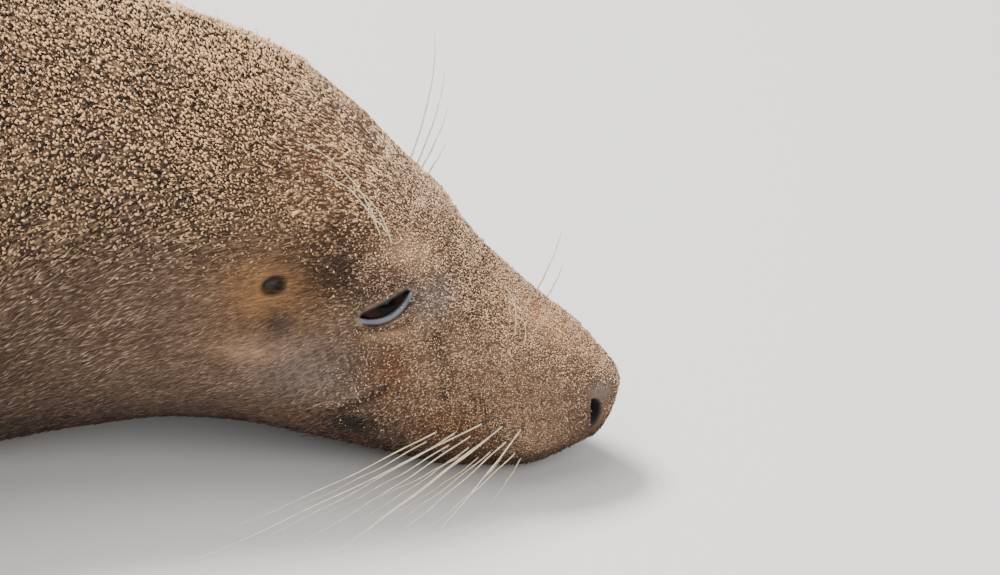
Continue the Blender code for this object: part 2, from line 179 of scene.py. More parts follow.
def section(behind, turn, swell=0.0):
    """Side and up of the body; turn 0 is the top, and a quarter turn is her right side."""
    behind, turn = np.broadcast_arrays(np.asarray(behind, float), turn)
    wide, above, below = extents(behind)
    top = np.cos(turn) > 0
    boxy = 1 - HEAD_BOXY * (1 - smoothstep(0.08, 0.20, behind))
    spread = 1 - BELLY_BOXY * smoothstep(0.4, 0.8, behind)
    power = boxy * np.where(top, 1, spread)
    side = wide * signed_power(np.sin(turn), power)
    up = np.where(top, above, below) * signed_power(np.cos(turn), power)
    reach = np.hypot(side, up) + 1e-9
    grow = np.broadcast_to(swell, reach.shape).copy()
    for _, place, spans, height in SWELLS:
        off = ((behind - place[0]) / spans[0]) ** 2
        off = off + ((np.abs(side) - place[1]) / spans[1]) ** 2
        off = off + ((up - place[2]) / spans[2]) ** 2
        grow = grow + height * np.exp(-off)
    return side * (1 + grow / reach), up * (1 + grow / reach)


print("widest:", max(HALF_WIDTH) * 2, "m at", BEHIND[HALF_WIDTH.argmax()], "m behind the nose")

# %% [markdown]
# ## The pose
# Her axis runs from nose to tail over the ground, with the head turned a little to her right and
# nosed down. Each point of the straight body is carried along with it, so one function bends skin,
# coat and whiskers alike.

# %% Bend the straight body along its axis
HEAD_PITCH = 12 * DEGREE
HEAD_YAW = 13 * DEGREE
TRUNK_YAW = -3 * DEGREE
RUMP_YAW = -13 * DEGREE
AXIS_LENGTH = 2.1
AXIS_STEPS = 2101


def axis_table():
    """The axis' points and forward directions, one for each millimetre behind the nose."""
    behind = np.linspace(0, AXIS_LENGTH, AXIS_STEPS)
    height = curve_through(BEHIND, AXIS_HEIGHT, np.clip(behind, NOSE_CAP, BEHIND[-1]))
    height = height - (NOSE_CAP - np.minimum(behind, NOSE_CAP)) * math.sin(HEAD_PITCH)
    yaw = HEAD_YAW + (TRUNK_YAW - HEAD_YAW) * smoothstep(0.20, 0.45, behind)
    yaw = yaw + (RUMP_YAW - TRUNK_YAW) * smoothstep(0.9, 1.7, behind)
    climb = np.gradient(height, behind)
    level = np.sqrt(1 - climb**2)
    back = np.stack([-np.cos(yaw) * level, np.sin(yaw) * level, climb], 1)
    points = np.zeros((AXIS_STEPS, 3))
    points[1:, :2] = np.cumsum((back[1:, :2] + back[:-1, :2]) / 2 * behind[1], axis=0)
    points[:, 2] = height
    return behind, points, -back


AXIS_BEHIND, AXIS_POINTS, AXIS_FORWARD = axis_table()


def frames(behind):
    """Axis point, forward, right and up at each distance behind the nose."""
    inside = np.maximum(behind, 0)
    ahead = unit(interpolate(inside, AXIS_BEHIND, AXIS_FORWARD))
    right = unit(np.stack([ahead[..., 1], -ahead[..., 0], np.zeros_like(inside)], -1))
    point = interpolate(inside, AXIS_BEHIND, AXIS_POINTS) + (inside - behind)[..., None] * ahead
    return point, ahead, right, np.cross(right, ahead)


def unmoved_pose(behind, side, up):
    behind, side, up = np.broadcast_arrays(np.asarray(behind, float), side, up)
    point, _, right, top = frames(behind)
    return point + side[..., None] * right + up[..., None] * top


def posed_vectors(behind, vectors):
    """Directions of the straight body (behind, side, up) turned the way the body is there."""
    _, ahead, right, top = frames(behind)
    return -ahead * vectors[..., :1] + right * vectors[..., 1:2] + top * vectors[..., 2:]


SMALL_STEP = 2e-4


def outward_of(behind, turn):
    """Outward directions of the straight body's surface, from small steps along and around it."""
    step = SMALL_STEP
    behind = np.maximum(behind, 2 * step)
    here = np.stack([behind, *section(behind, turn)], -1)
    along = np.stack([behind + step, *section(behind + step, turn)], -1) - here
    around = np.stack([behind, *section(behind, turn + step)], -1) - here
    outward = np.cross(around, along)
    outward /= np.linalg.norm(outward, axis=-1, keepdims=True) + 1e-12
    return outward * np.where((outward * here)[..., 1:].sum(-1) < 0, -1, 1)[..., None]


def skin_point(behind, up):
    """Point of the straight body's right side at this height, and the outward direction there."""
    low = 0.02
    high = math.pi - 0.02
    for _ in range(50):
        turn = (low + high) / 2
        if section(behind, turn)[1] > up:
            low = turn
        else:
            high = turn
    here = np.array([behind, *section(behind, turn)])
    return here, outward_of(np.array(behind), np.array(turn))


EYE_BEHIND = 0.143
EYE_UP = 0.050
EYE_RADIUS = 0.0195
EYE_SUNK = 0.0015
eye_surface, eye_outward = skin_point(EYE_BEHIND, EYE_UP)
EYE_CENTRE = eye_surface - eye_outward * (EYE_RADIUS + EYE_SUNK)

# The frame's own eyeball says where the solids were centred on the ground.
eye_low, eye_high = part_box("eye_right")
SHIFT = np.array((eye_low + eye_high) / 2) - unmoved_pose(*EYE_CENTRE)


def pose(behind, side, up):
    """World place of points of the straight body."""
    return unmoved_pose(behind, side, up) + SHIFT


print("moved by", np.round(SHIFT, 4).tolist(), "nose tip at", np.round(pose(0, 0, 0), 4).tolist())

# %% [markdown]
# ## Places on the head
# Eyes with lids, ear holes without flaps, nostrils, the mouth's line, and the creases that the skin
# falls into when the head rests: each is named here once, and both sides of the head share them.

# %% Features of the head
EYELID_SLANT = 37 * DEGREE
EYE_HALF_LENGTH = 17.5 * MM
UPPER_LID = 2.8 * MM
LOWER_LID = 5.0 * MM
LID_THICKNESS = 1.3 * MM
LID_RIM = 3.2 * MM
# Nothing behind here belongs to the eye.
EYE_REGION_END = 0.2
EAR_PLACE = (0.211, 0.056)
EAR_RADII = (9.8 * MM, 6.6 * MM)
EAR_SLANT = 35 * DEGREE
EAR_DEPTH = 7 * MM
NOSTRIL_PLACE = (0.0095, -0.0090)
NOSTRIL_SLANT = 110 * DEGREE
NOSTRIL_RADII = (12.5 * MM, 7.2 * MM)
NOSTRIL_REAR = 1.6 * MM
NOSTRIL_DEPTH = 9 * MM
# The mouth's line: behind and up.
MOUTH_LINE = (
    (-0.030, -0.031),
    (0.012, -0.032),
    (0.035, -0.040),
    (0.070, -0.050),
    (0.108, -0.056),
    (0.146, -0.043),
)
MOUTH_WIDTH = 1.3 * MM
JAW_NARROWING = 0.94

MOUTH_CORNER = np.array([0.144, 0.070, -0.036])
CORNER_WRINKLE = 11 * MM


def corner_wrinkle(degrees):
    """A short groove that fans out behind the corner of the mouth."""
    heading = np.array([math.cos(degrees * DEGREE), 0.45, math.sin(degrees * DEGREE)])
    return "corner wrinkle", (MOUTH_CORNER, MOUTH_CORNER + heading * CORNER_WRINKLE), 1.3, -1.4


# Creases and ridges: points (behind, side, up), half width and height in mm; a groove is negative.
CREASES = (
    ("cheek fold", ((0.165, 0.085, -0.020), (0.150, 0.080, -0.010), (0.140, 0.076, 0.000)), 5.5, 3.6),
    ("under cheek", ((0.160, 0.082, -0.028), (0.143, 0.076, -0.016), (0.132, 0.073, -0.005)), 3.5, -3.0),
    ("fold over the eye", ((0.162, 0.072, 0.054), (0.146, 0.064, 0.062), (0.130, 0.052, 0.063)), 2.2, -2.0),
    ("brow ridge", ((0.165, 0.066, 0.068), (0.148, 0.056, 0.075), (0.130, 0.044, 0.074)), 6.5, 3.0),
    ("under the eye", ((0.156, 0.079, 0.033), (0.143, 0.073, 0.035), (0.128, 0.062, 0.040)), 3.0, -1.9),
    ("muzzle furrow", ((0.112, 0.055, 0.030), (0.100, 0.057, 0.012), (0.098, 0.058, -0.008)), 5.0, -1.8),
    ("lip furrow", ((0.078, 0.052, -0.004), (0.066, 0.050, -0.016), (0.062, 0.049, -0.030)), 4.0, -1.2),
    *(corner_wrinkle(degrees) for degrees in (-55, -28, 0, 28, 55)),
)
# The nape's loose skin folds on her right side only.
NAPE_CREASES = (
    ("nape fold", ((0.340, 0.020, 0.158), (0.320, 0.016, 0.156), (0.290, 0.010, 0.154)), 4.5, -4.0),
    ("nape lobe", ((0.330, -0.014, 0.158), (0.305, -0.016, 0.155), (0.280, -0.020, 0.150)), 12.0, 3.5),
    ("nape ridge", ((0.360, 0.028, 0.158), (0.330, 0.030, 0.156), (0.300, 0.024, 0.152)), 10.0, 1.5),
)
print("creases:", len(CREASES) + len(NAPE_CREASES))

# %% [markdown]
# Eye, ear and nostril are easiest to shape in axes of their own: along the opening, across it and
# outward. The other helpers measure how near a point is to a lid, the mouth or a crease.

# %% Measure from the features
def axes_at(outward, slant):
    """Local axes at a surface point: along the slant, across it, outward."""
    along = np.array([-math.cos(slant), 0, math.sin(slant)])
    along = along - outward * (along @ outward)
    along /= np.linalg.norm(along)
    return np.stack([along, np.cross(outward, along), outward])


EYE_AXES = axes_at(eye_outward, EYELID_SLANT)
ear_surface, ear_outward = skin_point(*EAR_PLACE)
EAR_AXES = axes_at(ear_outward, EAR_SLANT)
nostril_surface, nostril_outward = skin_point(*NOSTRIL_PLACE)
NOSTRIL_AXES = axes_at(nostril_outward, NOSTRIL_SLANT)


def widened(points, factor):
    """Points with their distance to the side multiplied."""
    return points * np.stack([np.ones(len(points)), factor, np.ones(len(points))], -1)


def side_of(points):
    return np.where(points[:, 1] < 0, -1, 1)


def mirrored(points):
    """The same points with both sides of the head laid on her right side."""
    return widened(points, side_of(points))


def lid_margins(x):
    """Where the upper and lower lids end, along the eye's opening."""
    share = np.clip(x / EYE_HALF_LENGTH, -1, 1)
    open_share = 1 - share**2
    return UPPER_LID * open_share**0.6, -LOWER_LID * open_share**0.8 * (1 - 0.2 * share)


def lid_gap(x, y):
    """How far a place is inside the eye's opening; negative on the lids."""
    upper, lower = lid_margins(x)
    beside = (EYE_HALF_LENGTH - np.abs(x)) * 0.7
    return np.minimum(np.minimum(upper - y, y - lower), beside)


def below_mouth(points):
    """How far each point lies under the mouth's line."""
    return np.interp(points[:, 0], *np.array(MOUTH_LINE).T) - points[:, 2]


def from_path(points, path):
    """Distance of each point from a line through a few others."""
    nearest = np.full(len(points), 1e9)
    path = np.array(path)
    for start, end in zip(path, path[1:]):
        run = end - start
        share = np.clip((points - start) @ run / (run @ run), 0, 1)
        nearest = np.minimum(nearest, np.linalg.norm(points - start - share[:, None] * run, axis=1))
    return nearest


print("eye opening:", EYE_HALF_LENGTH * 2000, "mm long, creases:", len(CREASES) + len(NAPE_CREASES))

# %% [markdown]
# ## The skin's mesh
# The skin of the body is a tube, closed at the nose and between the hind flippers. A tube fine
# enough for eyelids is far too heavy for the trunk, so edges are split only near the features.
# Each new point is put back on the smooth surface afterwards, so no flat facets are left.

# %% Rows, columns and closing domes
COLUMNS = 184
HEAD_END = 0.235
NECK_END = 0.450
BODY_END = 1.700
END_DOME = 0.045
REAR_START = BODY_END - END_DOME
# Distances between rows on head, neck and trunk.
HEAD_ROWS = 1.9 * MM
NECK_ROWS = 4 * MM
TRUNK_ROWS = 13 * MM


def coat_depth(behind):
    """How far the skin lies inside the solids, to leave room for the coat."""
    places = (0, 0.10, 0.16, 0.25, 0.45, 0.70, 1.40, 1.66)
    depths = (0.8, 1.0, 2.0, 3.2, 3.5, 3.0, 2.5, 1.5)
    return np.interp(behind, places, depths) * MM


def skin_rows():
    """Distances behind the nose: close on the head, wide on the trunk, closing in both domes."""
    dome = NOSE_CAP * np.linspace(0, 1, 14)[1:-1] ** 2.2
    rear = BODY_END - END_DOME * (1 - np.cos(np.linspace(math.pi / 2, 0, 9)))[1:-1]
    head = np.arange(NOSE_CAP, HEAD_END, HEAD_ROWS)
    neck = np.arange(HEAD_END, NECK_END, NECK_ROWS)
    trunk = np.arange(NECK_END, REAR_START, TRUNK_ROWS)
    return np.concatenate([dome, head, neck, trunk, rear])


def skin_section(behind, turn):
    """The skin's own section: inside the solids by the coat's depth, and shut at the rear."""
    inset = coat_depth(behind) * smoothstep(0, NOSE_CAP, behind)
    side, up = section(behind, turn, -inset)
    rear = np.clip((behind - REAR_START) / END_DOME, 0, 1)
    shut = np.sqrt(1 - rear**2)
    return side * shut, up * shut


def straight_points(behind, turn):
    """The skin's points on the straight body, before the features are shaped."""
    nose_inset = coat_depth(behind) * (1 - smoothstep(0, NOSE_CAP, behind))
    side, up = skin_section(behind, turn)
    return np.stack([behind + nose_inset, side, up], -1)


def base_tube():
    """Rows and columns as a mesh, with each point's distance and turn kept in layers."""
    rows = skin_rows()
    turns = np.arange(COLUMNS) * 2 * math.pi / COLUMNS
    bm = bmesh.new()
    distance = bm.verts.layers.float.new("behind")
    sine = bm.verts.layers.float.new("sine")
    cosine = bm.verts.layers.float.new("cosine")

    def add(behind, x, y):
        vert = bm.verts.new((behind, x, y))
        vert[distance] = behind
        vert[sine] = x
        vert[cosine] = y
        return vert

    loops = [[add(behind, math.sin(turn), math.cos(turn)) for turn in turns] for behind in rows]
    nose = add(0, 0, 0)
    rear = add(BODY_END, 0, 0)
    pairs = [(k, (k + 1) % COLUMNS) for k in range(COLUMNS)]
    for first, second in zip(loops, loops[1:]):
        for k, n in pairs:
            bm.faces.new((first[k], first[n], second[n], second[k]))
    for k, n in pairs:
        bm.faces.new((nose, loops[0][n], loops[0][k]))
        bm.faces.new((rear, loops[-1][k], loops[-1][n]))
    return bm, (distance, sine, cosine)


print("rows:", len(skin_rows()), "columns:", COLUMNS)

# %% [markdown]
# Splitting works on the whole tube at once: each pass asks how long an edge may be at its middle,
# and halves those that are longer. Distance and turn are kept in layers, so new points get theirs
# from the points they lie between.

# %% Split edges near the features
# How many times edges are split, and how far over the wanted length one has to be.
REFINE_PASSES = 4
TOO_LONG = 1.35


def read_layers(bm, layers):
    """Distance behind the nose and turn of each point of the tube."""
    count = len(bm.verts)
    behind, sine, cosine = (
        np.fromiter((vert[layer] for vert in bm.verts), float, count) for layer in layers
    )
    return behind, np.arctan2(sine, cosine)


def wanted_edge(points):
    """The edge length that the features ask for at each place of the straight body."""
    q = mirrored(points)
    wanted = np.full(len(q), 9 * MM)

    def near(distance, reach, size):
        return np.where(distance < reach, np.minimum(wanted, size), wanted)

    eye = (q - eye_surface) @ EYE_AXES.T
    ellipse = np.hypot(eye[:, 0] / (26 * MM), eye[:, 1] / (16 * MM)) + (q[:, 0] >= EYE_REGION_END)
    wanted = near(ellipse, 1, 1.0 * MM)
    rim = np.abs(lid_gap(eye[:, 0], eye[:, 1]))
    on_rim = (rim < 1.4 * MM) & (ellipse < 0.9)
    wanted = np.where(on_rim, 0.45 * MM, wanted)
    wanted = near(np.linalg.norm(q - ear_surface, axis=1), 11 * MM, 0.9 * MM)
    nostril = (q - nostril_surface) @ NOSTRIL_AXES.T
    wanted = near(np.linalg.norm(nostril * (1, 1.4, 1), axis=1), 12 * MM, 0.6 * MM)
    mouth = np.where(q[:, 0] < 0.155, np.abs(below_mouth(q)), 1)
    wanted = near(mouth, 2.5 * MM, 1.0 * MM)
    for _, path, width, _ in CREASES:
        wanted = near(from_path(q, path), 1.6 * width * MM, max(0.5 * width, 0.9) * MM)
    return wanted


def refine(bm, layers):
    """Splits the edges that are too long for the features near them."""
    for _ in range(REFINE_PASSES):
        behind, turn = read_layers(bm, layers)
        points = straight_points(behind, turn)
        bm.verts.index_update()
        pairs = np.array([(edge.verts[0].index, edge.verts[1].index) for edge in bm.edges])
        start, end = points[pairs[:, 0]], points[pairs[:, 1]]
        long = np.linalg.norm(end - start, axis=1) > TOO_LONG * wanted_edge((start + end) / 2)
        chosen = [edge for edge, is_long in zip(bm.edges, long) if is_long]
        if not chosen:
            break
        bmesh.ops.subdivide_edges(bm, edges=chosen, cuts=1)
        bmesh.ops.triangulate(bm, faces=[face for face in bm.faces if len(face.verts) > 4])
    bmesh.ops.triangulate(bm, faces=bm.faces[:])


skin_bm, skin_layers = base_tube()
refine(skin_bm, skin_layers)
body_behind, body_turn = read_layers(skin_bm, skin_layers)
print("skin of the body:", len(skin_bm.faces), "triangles")

# %% [markdown]
# ## Lids, nostrils, mouth and folds
# The features are heights along the surface's outward direction. Near the eye the skin stays a
# lid's thickness outside the ball, and between the two margins it dives under it. Points close to
# a margin slide onto it, which gives clean lid edges.

# %% Shape the features on the straight body
# How near a point has to be to slide onto a lid's margin.
LID_SNAP = 0.24 * MM
# How far the lids may sink, and how deep the opening goes under the ball's front and the lids.
LID_SINK = 3.2 * MM
UNDER_BALL = 2.5 * MM
UNDER_LID = 3.6 * MM


def snap_to_lids(points):
    """Slides points that are close to a lid's margin onto it."""
    q = mirrored(points)
    eye = (q - eye_surface) @ EYE_AXES.T
    close = (np.abs(eye[:, 0]) < EYE_HALF_LENGTH * 0.97) & (q[:, 0] < EYE_REGION_END)
    for margin in lid_margins(eye[:, 0]):
        miss = margin - eye[:, 1]
        near = close & (np.abs(miss) < LID_SNAP)
        q = q + np.where(near, miss, 0)[:, None] * EYE_AXES[1]
    return widened(q, side_of(points))


def shape_lids(q):
    """Lids over the eyeball, and the opening between them, in the mirrored straight frame."""
    eye = (q - EYE_CENTRE) @ EYE_AXES.T
    x, y, z = eye.T
    region = 1 - smoothstep(0.55, 1.0, np.hypot(x / (27 * MM), y / (18 * MM)))
    region = region * (z > 0) * (q[:, 0] < EYE_REGION_END)
    lid_radius = EYE_RADIUS + LID_THICKNESS
    on_ball = np.sqrt(np.maximum(lid_radius**2 - x**2 - y**2, 0))
    sunk = z - LID_SINK * region
    soft = 1.0 * MM
    gap = lid_gap(x, y)
    lid = soft * np.logaddexp(on_ball / soft, sunk / soft) + 0.5 * MM * hump(gap, 0.9 * MM)
    ball = np.sqrt(np.maximum(EYE_RADIUS**2 - x**2 - y**2, 0))
    floor = np.maximum(ball - UNDER_BALL, lid - UNDER_LID)
    opening = smoothstep(-0.05 * MM, 0.45 * MM, gap)
    shaped = z + (lid - z) * region
    shaped = shaped + (floor - shaped) * opening * (region > 0)
    return q + (shaped - z)[:, None] * EYE_AXES[2]


print("lids:", round(LID_THICKNESS / MM, 1), "mm thick")

# %% [markdown]
# The ear is a bare hole, and the nostril a slit that is rounder in front. Both are oval pits with a
# raised lip. Folds and the mouth's line are humps and grooves along a path, and all of them are
# added up before the points are moved.

# %% Pits, lumps and folds
def oval_from(q, surface, axes, radii, rear_radius=None):
    """1 on the edge of an oval opening, less inside; its rear half may be narrower."""
    local = (q - surface) @ axes.T
    wide = np.where(local[:, 1] > 0, rear_radius or radii[1], radii[1])
    oval = np.hypot(local[:, 0] / radii[0], local[:, 1] / wide)
    return np.where(np.abs(local[:, 2]) < 3 * max(radii), oval, 9)


def pit(oval, depth, lip):
    """Depth of an oval pit with a raised lip, at each point."""
    hole = -depth * (1 - smoothstep(0.35, 1.05, oval))
    return hole + lip * hump(oval - 1.35, 0.35)


def ear_oval_of(q):
    return oval_from(q, ear_surface, EAR_AXES, EAR_RADII)


def nostril_oval_of(q):
    return oval_from(q, nostril_surface, NOSTRIL_AXES, NOSTRIL_RADII, NOSTRIL_REAR)


# Sand and mud dry in soft lumps on the face.
LUMP_HEIGHT = 0.7 * MM
LUMP_GAPS = (11 * MM, 7 * MM)


def crossing_waves(q, gaps):
    """An uneven pattern: waves of a few lengths that cross each other at odd angles."""
    total = np.zeros(len(q))
    for number, gap in enumerate(gaps):
        k = 2 * math.pi / gap
        x, _, z = q.T
        wave = np.sin(k * (x + 0.4 * z)) * np.sin(k * (z - 0.5 * x) + 1.3 * np.sin(k * 0.37 * x))
        total = total + wave / (number + 1)
    return total


def lumps(q):
    """Height of the lumps on the face."""
    height = LUMP_HEIGHT * crossing_waves(q, LUMP_GAPS) * smoothstep(0.01, 0.04, q[:, 0])
    return height * (1 - smoothstep(0.17, 0.22, q[:, 0]))


def relief(points):
    """Height of folds, lips and pits along the outward direction."""
    q = mirrored(points)
    height = pit(ear_oval_of(q), EAR_DEPTH, 0.8 * MM)
    height = height + pit(nostril_oval_of(q), NOSTRIL_DEPTH, 0.5 * MM)
    from_eye = np.linalg.norm(q - eye_surface, axis=1)
    height = height + lumps(q) * smoothstep(18 * MM, 28 * MM, from_eye)
    under = below_mouth(q)
    mouth = 1 - smoothstep(0.138, 0.156, q[:, 0])
    height = height - 2.0 * MM * mouth * hump(under, MOUTH_WIDTH)
    height = height + 0.9 * MM * mouth * hump(under + 3.5 * MM, 3 * MM)
    for there, creases in ((q, CREASES), (points, NAPE_CREASES)):
        for _, path, width, tall in creases:
            height = height + tall * MM * hump(from_path(there, path), width * MM)
    return height


def narrow_jaw(points):
    """The lower jaw closes inside the upper lip."""
    under = below_mouth(points)
    inside = smoothstep(0, 2.5 * MM, under) * (1 - smoothstep(0.110, 0.165, points[:, 0]))
    return widened(points, 1 - (1 - JAW_NARROWING) * inside)


def shaped_body(behind, turn):
    """The finished points of the straight body."""
    points = snap_to_lids(straight_points(behind, turn))
    outward = outward_of(behind, turn)
    outward[behind < 1e-6] = (-1, 0, 0)
    outward[behind > BODY_END - 1e-6] = (1, 0, 0)
    points = narrow_jaw(points + relief(points)[:, None] * outward)
    return widened(shape_lids(mirrored(points)), side_of(points))


body_world = pose(*shaped_body(body_behind, body_turn).T)
FLOOR_GAP = 0.6 * MM
body_world[:, 2] = np.maximum(body_world[:, 2], FLOOR_GAP)
for vert, place in zip(skin_bm.verts, body_world):
    vert.co = place
print("skin box:", np.round(body_world.min(0), 3).tolist(), np.round(body_world.max(0), 3).tolist())

# %% [markdown]
# ## Flippers and tail
# A seal's flippers are hands and feet in mittens of skin: five digits show as ridges, with a
# scalloped edge. Each limb is a stack of rings whose width, thickness and height follow a table.

# %% Rings of the limbs
DIGITS = 5
LIMB_INSET = 0.8 * MM
LIMB_SIDES = 72
LIMB_RINGS = 40
EDGE_RINGS = 5
FORE_ROOT = (0.490, 0.080)
FORE_ANGLE = 46 * DEGREE
FORE_LENGTH = 0.360
# Share of the length, half width, thickness, height of the middle.
FORE_SHAPE = (
    (0.00, 0.050, 0.070, 0.080),
    (0.30, 0.060, 0.076, 0.072),
    (0.48, 0.064, 0.054, 0.034),
    (0.66, 0.068, 0.032, 0.0155),
    (0.85, 0.072, 0.018, 0.0085),
    (1.00, 0.069, 0.009, 0.0045),
)
HIND_START = 1.6603
HIND_OVERLAP = 0.030
HIND_ROOT_SIDE = 0.0385
HIND_SPLAY = 13 * DEGREE
HIND_LENGTH = 0.320
HIND_SHAPE = (
    (0.00, 0.0355, 0.094, 0.056),
    (0.20, 0.042, 0.066, 0.036),
    (0.40, 0.050, 0.042, 0.0205),
    (0.70, 0.068, 0.024, 0.0115),
    (1.00, 0.086, 0.009, 0.0045),
)
TAIL_LENGTH = 0.125
TAIL_SHAPE = (
    (0.00, 0.015, 0.024, 0.084),
    (0.30, 0.026, 0.020, 0.078),
    (0.70, 0.022, 0.015, 0.066),
    (1.00, 0.009, 0.008, 0.056),
)
print("digits:", DIGITS, "rings on a limb:", LIMB_RINGS + EDGE_RINGS)

# %% [markdown]
# Fore flippers lie on the ground beside the chest, so their rings are placed in the world. Hind
# flippers and tail go on along the body, so theirs follow its axis. The outline is scalloped
# between the digits, and the last rings close the edge.

# %% Place the limbs' rings
def along(shape, share):
    """Half width, thickness and middle height of a limb at a share of its length."""
    table = np.array(shape)
    return [curve_through(table[:, 0], table[:, k], max(share, 0)) for k in (1, 2, 3)]


def tip_reach(across, crescent, slope):
    """How far the outline reaches at a place across the flipper: scalloped digits."""
    phase = (across + 1) / 2 * DIGITS
    scallop = 0.035 * (1 - np.abs(np.sin(math.pi * phase)))
    return 1 - crescent * (1 - across**2) - slope * (1 - across) / 2 - scallop


def at_height(behind, side, height):
    """World points of the straight body's side, raised in their section to a height."""
    point, _, _, top = frames(behind)
    return pose(behind, side, (height - point[..., 2]) / top[..., 2])


def fore_frame(right_side):
    """Root on the floor, direction along the limb, and direction to its rear edge."""
    root = pose(FORE_ROOT[0], FORE_ROOT[1] * right_side, 0.0)
    _, ahead, right, _ = frames(np.array(FORE_ROOT[0]))
    outward = right * right_side
    back = -np.array([ahead[0], ahead[1], 0])
    back /= np.linalg.norm(back)
    limb = back * math.cos(FORE_ANGLE) + outward * math.sin(FORE_ANGLE)
    rearward = back * math.sin(FORE_ANGLE) - outward * math.cos(FORE_ANGLE)
    return root * (1, 1, 0), limb, rearward


def fore_place(right_side, reach, across, height):
    root, limb, rearward = fore_frame(right_side)
    place = root + limb * (FORE_LENGTH * reach)[..., None] - rearward * across[..., None]
    place[..., 2] = height
    return place


def hind_place(right_side, reach, across, height):
    behind = HIND_START + HIND_LENGTH * reach
    splay = math.tan(HIND_SPLAY) * reach * HIND_LENGTH
    return at_height(behind, right_side * (HIND_ROOT_SIDE + splay - across), height)


def tail_place(_, reach, across, height):
    return at_height(HIND_START + TAIL_LENGTH * reach, across, height)


# Shape, place function, crescent and slope of the outline, where the rings start, digits' ridges.
LIMBS = {
    "fore": (FORE_SHAPE, fore_place, 0.0, 0.20, 0.0, 0.16),
    "hind": (HIND_SHAPE, hind_place, 0.10, 0.0, -HIND_OVERLAP / HIND_LENGTH, 0.20),
    "tail": (TAIL_SHAPE, tail_place, 0.0, 0.0, -HIND_OVERLAP / TAIL_LENGTH, 0.0),
}


def limb_rings(kind, right_side):
    """World points of a limb's rings, and each point's share of the limb and turn round it."""
    shape, place_of, crescent, slope, start, ridges = LIMBS[kind]
    turns = np.arange(LIMB_SIDES) * 2 * math.pi / LIMB_SIDES
    lift_round = signed_power(np.sin(turns), 0.8)
    across = np.cos(turns)
    outline = tip_reach(across, crescent, slope) if ridges else np.ones(LIMB_SIDES)
    ridge = 1 - ridges * (1 - np.abs(np.sin(math.pi * (across + 1) / 2 * DIGITS)))
    rings = []
    shares = []
    closing = np.linspace(0, math.pi / 2, EDGE_RINGS + 1)[1:]
    stations = [(share, 1.0, 0.0) for share in np.linspace(start, 1, LIMB_RINGS)]
    stations += [(1.0, math.cos(angle), math.sin(angle)) for angle in closing]
    for share, shrink, beyond in stations:
        half_width, thickness, middle = along(shape, share)
        half_width = (half_width - LIMB_INSET) * (1 - 0.03 * (1 - shrink))
        half_thick = max(thickness / 2 - LIMB_INSET, 1 * MM) * max(shrink, 0.02)
        lift = lift_round * half_thick * (1 + (ridge - 1) * smoothstep(0.3, 0.7, share))
        reach = share * (1 + (outline - 1) * smoothstep(0, 1, share))
        reach = reach + beyond * 2.5 * MM / 0.33
        height = np.maximum(middle + lift, FLOOR_GAP)
        rings.append(place_of(right_side, reach, across * half_width, height))
        shares.append(np.full(LIMB_SIDES, share))
    return np.array(rings), np.array(shares), np.broadcast_to(turns, (len(rings), LIMB_SIDES))


print("kinds of limb:", list(LIMBS))

# %% [markdown]
# A limb has to be a closed solid, or it can't be joined to the body. Rings make it simple: quads
# run between two rings, and more quads close the first and the last.

# %% Make the limbs
def ring_mesh(rings):
    """Closed mesh of a stack of rings: quads between them, and quads across both ends."""
    count, sides, _ = rings.shape
    faces = []
    for base in range(0, (count - 1) * sides, sides):
        for k in range(sides):
            n = (k + 1) % sides
            faces.append((base + k, base + n, base + sides + n, base + sides + k))
    for base in (0, (count - 1) * sides):
        for k in range(sides // 2):
            corners = [k, k + 1, (sides - k - 1) % sides, (sides - k) % sides]
            faces.append([base + corner for corner in dict.fromkeys(corners)])
    mesh = bpy.data.meshes.new("rings")
    mesh.from_pydata(rings.reshape(-1, 3).tolist(), [], faces)
    return mesh


def new_object(name, mesh):
    thing = bpy.data.objects.new(name, mesh)
    bpy.context.scene.collection.objects.link(thing)
    return thing


def closed_object(name, bm):
    """Object of a closed mesh with its faces outward."""
    bmesh.ops.recalc_face_normals(bm, faces=bm.faces)
    if bm.calc_volume(signed=True) < 0:
        bmesh.ops.reverse_faces(bm, faces=bm.faces)
    mesh = bpy.data.meshes.new(name)
    bm.to_mesh(mesh)
    bm.free()
    mesh.shade_smooth()
    return new_object(name, mesh)


# Zones of the skin: 0 is the body, 1 to 4 the flippers, 5 the tail.
limb_zones = (("fore", 1, 1), ("fore", -1, 2), ("hind", 1, 3), ("hind", -1, 4), ("tail", 1, 5))
limb_objects = []
limb_clouds = []
for kind, right_side, zone in limb_zones:
    rings, shares, turns = limb_rings(kind, right_side)
    bm = bmesh.new()
    bm.from_mesh(ring_mesh(rings))
    bmesh.ops.triangulate(bm, faces=bm.faces[:])
    limb_objects.append(closed_object(f"{kind}_limb_{zone}", bm))
    limb_clouds.append((rings.reshape(-1, 3), shares.ravel(), turns.ravel(), zone))
print("limbs:", [len(thing.data.polygons) for thing in limb_objects], "triangles")

# %% [markdown]
# ## One skin
# The limbs are joined to the body by Boolean unions, so the skin is one closed surface. A union
# leaves a sharp valley where real skin runs over it, so the points near it are eased.

# %% Join the limbs to the body and ease the joints
floats = skin_bm.verts.layers.float
for name in floats.keys():
    floats.remove(floats[name])
skin = closed_object("skin", skin_bm)
for limb in limb_objects:
    union = skin.modifiers.new(limb.name, "BOOLEAN")
    union.operation = "UNION"
    union.solver = "MANIFOLD"
    union.object = limb
depsgraph = bpy.context.evaluated_depsgraph_get()
joined = bpy.data.meshes.new_from_object(skin.evaluated_get(depsgraph))
skin.modifiers.clear()
skin.data = joined
for limb in limb_objects:
    bpy.data.objects.remove(limb, do_unlink=True)

